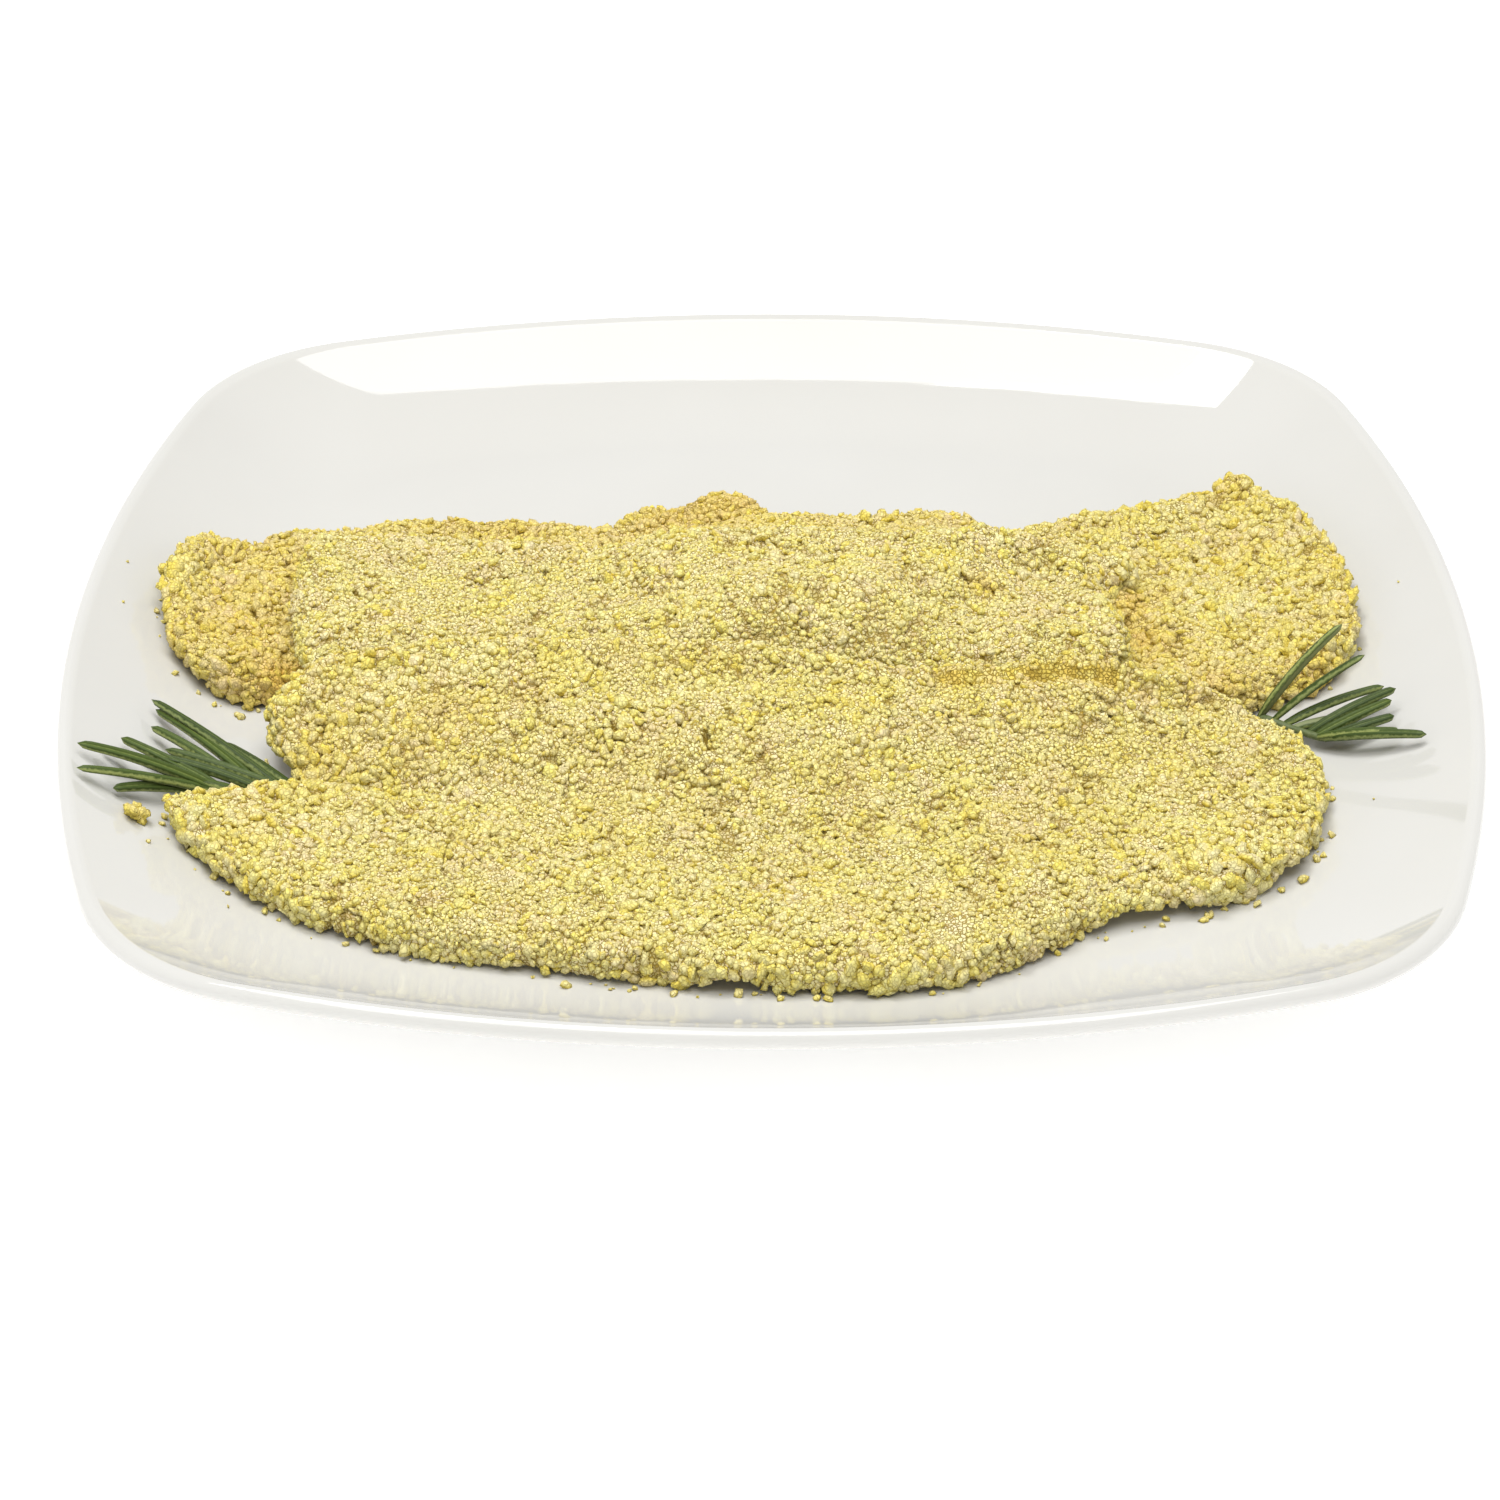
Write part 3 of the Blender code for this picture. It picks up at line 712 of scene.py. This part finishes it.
def cell_node(nodes, links, size, feature):
    """Cells of about this size, each with its own random colour, or the distance to their edges."""
    place = nodes.new("ShaderNodeTexCoord")
    bend = noise_node(nodes, links, 0.9 / size, detail=1.0)
    spread = nodes.new("ShaderNodeVectorMath")
    spread.operation = "MULTIPLY_ADD"
    spread.inputs[1].default_value = (0.9 * size,) * 3
    links.new(bend.outputs["Color"], spread.inputs[0])
    links.new(place.outputs["Object"], spread.inputs[2])
    cells = nodes.new("ShaderNodeTexVoronoi")
    cells.feature = feature
    cells.inputs["Scale"].default_value = 1 / size
    links.new(spread.outputs["Vector"], cells.inputs["Vector"])
    return cells


def math_node(nodes, links, operation, first, second):
    """A sum or the like of two values, each a number or another node's output."""
    node = nodes.new("ShaderNodeMath")
    node.operation = operation
    for socket, value in zip(node.inputs, (first, second)):
        if isinstance(value, (int, float)):
            socket.default_value = value
        else:
            links.new(value, socket)
    return node.outputs["Value"]


def mix_node(nodes, links, factor, first, second):
    """One colour turned into another; each is a colour or another node's output."""
    mix = nodes.new("ShaderNodeMix")
    mix.data_type = "RGBA"
    links.new(factor, mix.inputs["Factor"])
    for name, value in (("A", first), ("B", second)):
        if isinstance(value, tuple):
            mix.inputs[name].default_value = (*value, 1)
        else:
            links.new(value, mix.inputs[name])
    return mix.outputs["Result"]


def share_node(nodes, name):
    """A number that each point of the mesh carries."""
    share = nodes.new("ShaderNodeAttribute")
    share.attribute_name = name
    return share.outputs["Fac"]


def crumb_finish(name, grain, has_bed):
    """Dry crumb, each grain its own yellow, dusty and rough; painted shade darkens a bed between its
    grains, and a loose crumb on its lower flanks and seams.
    """
    material, nodes, links, shader = new_material(name, 0.8)
    shader.inputs["Specular IOR Level"].default_value = 0.25
    grains = cell_node(nodes, links, grain, "F1")
    own = nodes.new("ShaderNodeSeparateColor")
    links.new(grains.outputs["Color"], own.inputs["Color"])
    speck = noise_node(nodes, links, 1 / (0.5 * MM), detail=2.0)
    tone = math_node(nodes, links, "MULTIPLY", own.outputs["Red"], 0.4 if has_bed else 0.2)
    tone = math_node(nodes, links, "ADD", tone, share_node(nodes, "tone"))
    fine = math_node(nodes, links, "MULTIPLY", speck.outputs["Fac"], 0.4)
    tone = math_node(nodes, links, "ADD", tone, fine)
    tone = math_node(nodes, links, "SUBTRACT", tone, 0.4 if has_bed else 0.3)
    yellows = [(0.0, BEIGE), (0.2, PALE), (0.42, CREAM), (0.66, BUTTER), (0.88, YELLOW), (1.0, GOLD)]
    ramp = ramp_node(nodes, yellows)
    links.new(tone, ramp.inputs["Fac"])
    # Warmth turns a crumb browner; some stains use it to paint shade.
    colour = mix_node(nodes, links, share_node(nodes, "warmth"), ramp.outputs["Color"], TOASTED_AND_SHADE)
    unshaded = share_node(nodes, "unshaded")

    grit = noise_node(nodes, links, 1 / (0.42 * MM), detail=2.0, roughness=0.6)
    rims = cell_node(nodes, links, grain, "DISTANCE_TO_EDGE")
    pillow = nodes.new("ShaderNodeMapRange")
    pillow.interpolation_type = "SMOOTHSTEP"
    pillow.inputs["From Max"].default_value = 0.17
    links.new(rims.outputs["Distance"], pillow.inputs["Value"])
    if has_bed:
        # Painted shade: the bed turns dark along its grains' edges, and fully in open gaps and cracks.
        gap = math_node(nodes, links, "MULTIPLY", pillow.outputs["Result"], unshaded)
        colour = mix_node(nodes, links, gap, GAP_SHADE, colour)
    else:
        # Painted warm shade on the crumb's lower flanks.
        colour = mix_node(nodes, links, unshaded, FLANK_SHADE, colour)
        # Painted shade: a loose crumb turns partly to the gap shade along its grains' seams.
        seam_shade = math_node(nodes, links, "MULTIPLY_ADD", pillow.outputs["Result"], 0.3)
        seam_shade.node.inputs[2].default_value = 0.7
        colour = mix_node(nodes, links, seam_shade, GAP_SHADE, colour)
    links.new(colour, shader.inputs["Base Color"])
    height = math_node(nodes, links, "MULTIPLY_ADD", grit.outputs["Fac"], 0.5)
    links.new(pillow.outputs["Result"], height.node.inputs[2])

    rough = nodes.new("ShaderNodeMapRange")
    rough.inputs["To Min"].default_value = 0.68
    rough.inputs["To Max"].default_value = 0.92
    links.new(speck.outputs["Fac"], rough.inputs["Value"])
    links.new(rough.outputs["Result"], shader.inputs["Roughness"])
    bump = nodes.new("ShaderNodeBump")
    bump.inputs["Strength"].default_value = 0.8
    bump.inputs["Distance"].default_value = (0.45 if has_bed else 0.25) * MM
    links.new(height, bump.inputs["Height"])
    links.new(bump.outputs["Normal"], shader.inputs["Normal"])
    return material


def crumb_shapes(rng, kind, count):
    """A few broken lumps, each an array of points about its middle, and their shared faces."""
    ball = bmesh.new()
    if kind == 0:
        bmesh.ops.create_cone(
            ball, segments=4, radius1=1, radius2=0, depth=1, cap_ends=False
        )
        bmesh.ops.mirror(
            ball, geom=ball.verts[:] + ball.edges[:] + ball.faces[:], axis="Z",
            matrix=Matrix.Translation((0, 0, 0.5)), merge_dist=0.01,
        )
        bmesh.ops.translate(ball, verts=ball.verts, vec=(0, 0, 0.5))
    else:
        bmesh.ops.create_icosphere(ball, subdivisions=kind, radius=1)
    bmesh.ops.recalc_face_normals(ball, faces=ball.faces)
    points = np.array([vertex.co[:] for vertex in ball.verts])
    faces = np.array([[vertex.index for vertex in face.verts] for face in ball.faces])
    ball.free()
    shapes = []
    for _ in range(count):
        offset = Vector(rng.uniform(-50, 50, 3))
        swell = np.array([noise.noise(Vector(point) * 1.6 + offset) for point in points])
        jag = 0.2 if kind < 2 else 0.1
        swell = 1 + 0.75 * swell + rng.uniform(-jag, jag, len(points))
        shapes.append(points * swell[:, None])
    return np.array(shapes), faces


def lying_turns(rng, normals, tilt):
    """For each normal, axes of a crumb that lies about flat on it, turned at random."""
    up = normals + tilt * rng.normal(size=normals.shape)
    up /= np.linalg.norm(up, axis=1)[:, None]
    across = np.cross(up, rng.normal(size=up.shape))
    across /= np.linalg.norm(across, axis=1)[:, None]
    return np.stack([across, np.cross(up, across), up], axis=2)


def crumb_meshes(rng, spots, normals, radii, kind):
    """Points and faces of crumbs at these places, each point's crumb, and its height on it, which sets
    the painted shade on the crumb's lower flanks.
    """
    shapes, faces = crumb_shapes(rng, kind, 16)
    chosen = rng.integers(len(shapes), size=len(spots))
    stretch = rng.uniform((0.95, 0.85, 0.55), (1.4, 1.15, 0.85), (len(spots), 3))
    local = shapes[chosen] * (stretch * radii[:, None])[:, None, :]
    # Painted shade: the lower a point sits on its crumb, the more of the flank shade it takes.
    unshaded = 0.25 + 0.95 * shapes[chosen][:, :, 2]
    turned = np.einsum("nij,nkj->nki", lying_turns(rng, normals, 0.28), local)
    points = turned + spots[:, None, :]
    per = points.shape[1]
    offsets = np.arange(len(spots))[:, None, None] * per
    owner = np.repeat(np.arange(len(spots)), per)
    return points.reshape(-1, 3), (faces[None] + offsets).reshape(-1, 3), owner, unshaded.ravel()


# From these radii up a crumb is modelled with 20, 80 and 320 faces, and below them with 8.
CRUMB_KINDS = (0, 0.42 * MM, 1.3 * MM, 2.4 * MM, 1.0)
BIG_CRUMB = 1.0 * MM
FINE_CRUMB = 0.60 * MM  # smaller ones are a piece of their own


def joined_crumbs(name, rng, spots, normals, radii, tones, warm, material):
    """All crumbs of one kind as one piece, each with its own shape, turn and tone."""
    parts = []
    for kind in range(4):
        group = (radii >= CRUMB_KINDS[kind]) & (radii < CRUMB_KINDS[kind + 1])
        if group.any():
            made = crumb_meshes(rng, spots[group], normals[group], radii[group], kind)
            points, faces, owner, unshaded = made
            parts.append((points, faces, tones[group][owner], warm[group][owner], unshaded, kind))
    first = [0] + list(np.cumsum([len(part[0]) for part in parts])[:-1])
    mesh = bpy.data.meshes.new(name)
    mesh.from_pydata(
        np.concatenate([part[0] for part in parts]),
        [],
        np.concatenate([part[1] + start for part, start in zip(parts, first)]),
    )
    set_shares(mesh, "tone", np.concatenate([part[2] for part in parts]))
    set_shares(mesh, "warmth", np.concatenate([part[3] for part in parts]))
    # how free each point is of the painted shade of gaps and flanks
    set_shares(mesh, "unshaded", np.concatenate([part[4] for part in parts]))
    smooth = np.concatenate([np.full(len(part[1]), part[5] >= 1) for part in parts])
    mesh.polygons.foreach_set("use_smooth", smooth)
    mesh.update()
    return add_piece(name, mesh, material)


def crumb_tones(rng, cutlet, spots, radii, own):
    """Most crumbs are cream or butter yellow, alike in a clump, and the largest often yellower."""
    seed = cutlet["seed"]
    tones = 0.42 + cutlet["tone"] + 0.13 * own + rng.normal(0, 0.08, len(radii))
    tones += 0.35 * patchiness(spots, seed + 70, 5 * MM)
    tones += 0.35 * patchiness(spots, seed + 90, 15 * MM)
    yellow = rng.random(len(radii)) < 0.01 + 0.25 * (radii > BIG_CRUMB)
    return np.where(yellow, rng.uniform(0.6, 0.88, len(radii)), tones)


def scattered_coat(cutlet, mesh, rng, material):
    """The crumbs of the coat, the biggest laid first, thinner in some places: fine and coarse."""
    faces = seen_faces(cutlet, mesh)
    spots, normals = random_spots(rng, faces, int(faces[2].sum() / MM**2 * SPOTS_PER_MM2))
    coarseness = np.clip(patchiness(spots, cutlet["seed"] + 40, 9 * MM), -0.5, 0.5)
    size = 1 + 0.45 * coarseness
    for place, radius, more in cutlet["lumpy"]:
        away = np.hypot(*(spots[:, :2] - np.array(place) * MM).T)
        size += more * np.exp(-((away / (radius * MM)) ** 2))
    radii = (0.44 + 0.46 * rng.random(len(spots)) ** 2) * size
    radii *= cutlet["grain"] * (1 + 0.3 * np.clip(1 - normals[:, 2], 0, 1)) * MM
    big = rng.random(len(spots)) < 0.012 * size**3
    radii[big] = rng.uniform(0.85, 1.4, big.sum()) * MM
    order = np.argsort(-radii)
    spots, normals, radii = spots[order], normals[order], radii[order]
    thick = rng.random(len(spots)) < 0.85 + 1.0 * patchiness(spots, cutlet["seed"] + 60, 11 * MM)
    thick |= normals[:, 2] < 0.6
    inside, open_gap, own = clumps(cutlet, spots)
    thick &= inside > 0.36 * open_gap
    for crack in cutlet["cracks"]:
        thick &= off_path(spots, crack)[0] > 0.7 * MM
    for path, half_width in cutlet["bare"]:
        thick &= off_path(spots, path)[0] > half_width * MM * rng.uniform(0.5, 1.1, len(spots))
    spots, normals, radii, own = spots[thick], normals[thick], radii[thick], own[thick]
    kept = packed_spots(spots, radii, CLOSENESS)
    spots, normals, radii, own = spots[kept], normals[kept], radii[kept], own[kept]
    middles = spots + normals * (radii * rng.uniform(-0.35, 0.25, len(radii)))[:, None]
    tones = crumb_tones(rng, cutlet, spots, radii, own)
    warm = warmth_and_shade_at(cutlet, spots)
    for kind, group in (("fine", radii < FINE_CRUMB), ("coarse", radii >= FINE_CRUMB)):
        piece = joined_crumbs(
            f"{cutlet['node']}_{kind}_crumbs", rng, middles[group], normals[group],
            radii[group], tones[group], warm[group], material,
        )
        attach(piece, "root")


bed_crumb = crumb_finish("packed_crumb", 0.85 * MM, has_bed=True)
loose_crumb = crumb_finish("loose_crumb", 0.95 * MM, has_bed=False)
for cutlet in CUTLETS:
    rng = np.random.default_rng(cutlet["seed"])
    bed_mesh = cutlet_bed(cutlet)
    mark_bed(cutlet, bed_mesh)
    bed_mesh.shade_smooth()
    bed = add_piece(cutlet["node"] + "_bed", bed_mesh, bed_crumb)
    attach(bed, "root")
    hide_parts(cutlet["node"])
    scattered_coat(cutlet, bed_mesh, rng, loose_crumb)


# ================================================================ crumbs on the plate
# Crumbs that dropped off while the cutlets were laid down. Most lie close along the edges, a
# few have rolled further, and one small knot of them lies off the front cutlet's left tip.

FALLEN_NEAR = 240
FALLEN_SPREAD = 0.35 * MM  # most lie within this of an edge
# Single crumbs that rolled further: (x, y, radius) in millimetres.
STRAY_CRUMBS = (
    (87, -87, 0.9), (94.6, -82, 1.0), (97, -83, 0.7), (107, -75, 1.1), (110.5, -68, 1.0),
    (112, -67, 0.8), (114.5, -60, 0.9), (138.4, 28.5, 0.4), (-141.7, 32.8, 0.4),
    (-141, 17.5, 0.4), (-114, -11, 0.7), (-113, -12, 0.9), (-108.4, -86, 0.4),
    (-125.8, -70, 0.5), (-40, -111.5, 0.9), (-6.7, -114.5, 1.1), (10.8, -116.5, 0.9),
    (66, -95, 0.6), (124, -50, 0.4),
)
# The knot off the left tip, as a middle with the spread and the number of its crumbs.
KNOT = ((-128.6, -62.8), 1.2, 14)


def fallen_crumbs():
    rng = np.random.default_rng(71)
    laid = np.any(list(PLANS.values()), axis=0)
    border = np.argwhere(laid & ~shrunk(laid, 1))
    border = (border + 0.5 - MAP_SIDE / 2) * MAP_CELL
    start = border[rng.integers(len(border), size=FALLEN_NEAR * 8)]
    turn = rng.uniform(0, 2 * math.pi, len(start))
    away = rng.exponential(FALLEN_SPREAD, len(start)) + 0.6 * MM
    near = start + np.stack([np.cos(turn), np.sin(turn)], axis=1) * away[:, None]
    near = near[~read_cells(laid, near)][:FALLEN_NEAR]
    near_radii = (0.28 + 0.65 * rng.random(len(near)) ** 2.5) * MM
    strays = np.array(STRAY_CRUMBS) * MM
    middle, spread, number = KNOT
    knot = np.array(middle) * MM + rng.normal(0, spread * MM, (number, 2))
    knot_radii = rng.uniform(0.9, 1.35, number) * MM
    plan = np.concatenate([near, strays[:, :2], knot])
    radii = np.concatenate([near_radii, strays[:, 2], knot_radii])
    height = plate_height(plan[:, 0], plan[:, 1]) + 0.62 * radii
    height[-number:] += np.abs(rng.normal(0, 1.1 * MM, number))
    spots = np.column_stack([plan, height])
    warm = np.full(len(spots), 0.12)
    warm[-number:] = 0.35
    tones = rng.uniform(0.3, 0.75, len(spots))
    upright = np.tile((0.0, 0.0, 1.0), (len(spots), 1))
    piece = joined_crumbs("fallen_crumbs", rng, spots, upright, radii, tones, warm, loose_crumb)
    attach(piece, "root")


fallen_crumbs()


# ================================================================ rosemary
# Two fresh sprig tips tucked under the front cutlet, one at each end. The leaves are leathery
# needles: dark and glossy above with a sunken midrib, their edges rolled down, paler below.

NEEDLE_WIDTH = 2.4 * MM
NEEDLE_THICKNESS = 1.8 * MM
STEM_RADIUS = 1.2 * MM
NEEDLE_STEPS = 22
# Round a leaf's section: (across, up) as shares of half its width and of its thickness. It runs
# over the top with the midrib's groove, round the rolled edge, and under with the raised rib.
LEAF_SECTION = (
    (0.0, 0.26), (0.14, 0.33), (0.36, 0.46), (0.62, 0.44), (0.84, 0.28), (0.98, 0.0),
    (0.95, -0.26), (0.78, -0.40), (0.58, -0.30), (0.34, -0.18), (0.16, -0.24), (0.0, -0.42),
)
# The stem's foot and end, then for each needle how far along the stem it grows, where its tip
# is, how much it bows sideways and how far it is rolled over, in degrees. Points are (x, y,
# height of the middle line above the plate under it), in millimetres.
SPRIGS = (
    {
        "node": "rosemary_left",
        "stem": ((-97, -45.3, 2.6), (-118, -47.5, 2.8)),
        "needles": [
            (0.14, (-131, -18, 3.0), -0.02, 25), (0.36, (-130, -20, 2.2), 0.02, -20),
            (0.50, (-130, -28, 2.6), 0.02, 10), (0.02, (-115, -26, 2.2), -0.01, 35),
            (0.74, (-135, -37, 2.2), -0.03, -15), (0.80, (-142, -49, 2.6), 0.03, -30),
            (0.90, (-138, -44, 2.0), -0.02, 20), (0.86, (-141, -58, 2.0), -0.03, 10),
            (0.96, (-134, -58, 2.0), 0.03, -35), (0.10, (-126, -37, 4.0), -0.02, 5),
            (0.34, (-128, -41, 3.8), 0.02, -10), (0.60, (-124, -46, 3.2), -0.02, 15),
        ],
    },
    {
        "node": "rosemary_right",
        "stem": ((103.5, -16.2, 3.0), (117, -26.5, 3.0)),
        "needles": [
            (0.02, (120, -15, 24), -0.03, -55), (0.20, (125, -17, 16), -0.02, -25),
            (0.36, (130, -15, 5.0), -0.04, -15), (0.72, (132, -18, 5.2), -0.02, 10),
            (0.84, (131, -20, 4.0), 0.03, 20), (0.96, (131, -25, 3.0), 0.05, 15),
            (0.86, (131, -33, 4.0), 0.03, -20), (0.92, (136, -37, 2.4), 0.03, 10),
            (0.50, (124, -19, 2.6), 0.03, 170),
        ],
    },
)


def leaf_finish():
    material, nodes, links, shader = new_material("rosemary_leaf", 0.42)
    shader.inputs["Specular IOR Level"].default_value = 0.25
    across = nodes.new("ShaderNodeAttribute")
    across.attribute_name = "across"
    streak = noise_node(nodes, links, 1 / (0.9 * MM), detail=3.0)
    shift = nodes.new("ShaderNodeMath")
    shift.operation = "MULTIPLY_ADD"
    shift.inputs[1].default_value = 0.22
    links.new(streak.outputs["Fac"], shift.inputs[0])
    links.new(across.outputs["Fac"], shift.inputs[2])
    # From the midrib over the top to the pale edge, then the grey underside.
    greens = ramp_node(
        nodes,
        [
            (0.10, (0.13, 0.17, 0.05)), (0.2, (0.065, 0.10, 0.022)), (0.46, (0.035, 0.06, 0.012)),
            (0.56, (0.25, 0.30, 0.12)), (0.66, (0.06, 0.09, 0.03)), (0.86, (0.22, 0.25, 0.14)),
        ],
    )
    links.new(shift.outputs[0], greens.inputs["Fac"])
    own = nodes.new("ShaderNodeAttribute")
    own.attribute_name = "freshness"
    fresh = nodes.new("ShaderNodeMix")
    fresh.data_type = "RGBA"
    fresh.blend_type = "MULTIPLY"
    fresh.inputs["Factor"].default_value = 1.0
    tint = ramp_node(nodes, [(0.0, (0.68, 0.72, 0.68)), (1.0, (1.35, 1.28, 1.0))])
    links.new(own.outputs["Fac"], tint.inputs["Fac"])
    links.new(greens.outputs["Color"], fresh.inputs["A"])
    links.new(tint.outputs["Color"], fresh.inputs["B"])
    links.new(fresh.outputs["Result"], shader.inputs["Base Color"])
    rough = nodes.new("ShaderNodeMapRange")
    rough.inputs["To Min"].default_value = 0.34
    rough.inputs["To Max"].default_value = 0.58
    links.new(streak.outputs["Fac"], rough.inputs["Value"])
    links.new(rough.outputs["Result"], shader.inputs["Roughness"])
    pores = noise_node(nodes, links, 1 / (0.3 * MM), detail=2.0)
    bump = nodes.new("ShaderNodeBump")
    bump.inputs["Strength"].default_value = 0.5
    bump.inputs["Distance"].default_value = 0.08 * MM
    links.new(pores.outputs["Fac"], bump.inputs["Height"])
    links.new(bump.outputs["Normal"], shader.inputs["Normal"])
    return material


def leaf_outline(t):
    """Half width of a leaf along its length: a short neck, then even, then a blunt point."""
    neck = 0.62 + 0.38 * math.sin(min(t / 0.25, 1) * math.pi / 2)
    taper = 1 - 0.22 * max(0.0, (t - 0.55) / 0.45)
    point = math.sqrt(max(0.0, 1 - max(0.0, (t - 0.91) / 0.09) ** 2))
    return neck * taper * point


def add_leaf(mesh, shares, root, tip, bow, roll, freshness):
    """One needle as rings of its section along a slightly bowed line."""
    ahead = (tip - root).normalized()
    side = ahead.cross(Vector((0, 0, 1))).normalized()
    up = side.cross(ahead)
    length = (tip - root).length
    section = list(LEAF_SECTION) + [(-x, y) for x, y in LEAF_SECTION[-2:0:-1]]
    half = len(LEAF_SECTION) - 1
    turn = Matrix.Rotation(math.radians(roll), 3, ahead)
    rings = []
    for i in range(NEEDLE_STEPS + 1):
        t = i / NEEDLE_STEPS
        width = max(leaf_outline(t), 0.03)
        middle = root.lerp(tip, t) + (side * bow * 0.5 + up * 0.03) * (4 * t * (1 - t) * length)
        ring = []
        for k, (x, y) in enumerate(section):
            offset = side * (x * width * NEEDLE_WIDTH / 2) + up * (y * width * NEEDLE_THICKNESS)
            ring.append(mesh.verts.new(middle + turn @ offset))
            shares.append((min(k, 2 * half - k) / half, freshness))
        rings.append(ring)
    count = len(section)
    for low, high in zip(rings, rings[1:]):
        for k in range(count):
            mesh.faces.new((low[k], low[(k + 1) % count], high[(k + 1) % count], high[k]))
    mesh.faces.new(list(reversed(rings[0])))
    mesh.faces.new(rings[-1])


def above_plate(point):
    x, y, lift = (value * MM for value in point)
    return Vector((x, y, float(plate_height(np.array([x]), np.array([y]))[0]) + lift))


def add_stem(mesh, shares, foot, tip, sides=10, steps=12):
    """The woody stem, tapering and a little knotty."""
    ahead = (tip - foot).normalized()
    side = ahead.cross(Vector((0, 0, 1))).normalized()
    up = side.cross(ahead)
    rings = []
    for i in range(steps + 1):
        t = i / steps
        girth = STEM_RADIUS * (1 - 0.45 * t) * (1 + 0.12 * math.sin(9 * t))
        girth *= 1.0 if 0 < i < steps else 0.6
        ring = []
        for k in range(sides):
            turn = 2 * math.pi * k / sides
            ring.append(
                mesh.verts.new(
                    foot.lerp(tip, t) + girth * (side * math.cos(turn) + up * math.sin(turn))
                )
            )
            shares.append((0.62, 0.5))
        rings.append(ring)
    for low, high in zip(rings, rings[1:]):
        for k in range(sides):
            mesh.faces.new((low[k], low[(k + 1) % sides], high[(k + 1) % sides], high[k]))
    mesh.faces.new(list(reversed(rings[0])))
    mesh.faces.new(rings[-1])


def make_sprig(sprig, rng, material):
    mesh = bmesh.new()
    shares = []
    foot, tip = (above_plate(end) for end in sprig["stem"])
    add_stem(mesh, shares, foot, tip)
    for along, end, bow, roll in sprig["needles"]:
        freshness = rng.uniform(0.15, 0.95)
        add_leaf(mesh, shares, foot.lerp(tip, along), above_plate(end), bow, roll, freshness)
    bmesh.ops.recalc_face_normals(mesh, faces=mesh.faces)
    leaves = bpy.data.meshes.new(sprig["node"] + "_leaves")
    mesh.to_mesh(leaves)
    mesh.free()
    set_shares(leaves, "across", np.array([share[0] for share in shares]))
    set_shares(leaves, "freshness", np.array([share[1] for share in shares]))
    leaves.shade_smooth()
    piece = add_piece(sprig["node"] + "_sprig", leaves, material)
    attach(piece, "root")
    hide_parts(sprig["node"])


leaf_green = leaf_finish()
leaf_rng = np.random.default_rng(91)
for sprig in SPRIGS:
    make_sprig(sprig, leaf_rng, leaf_green)
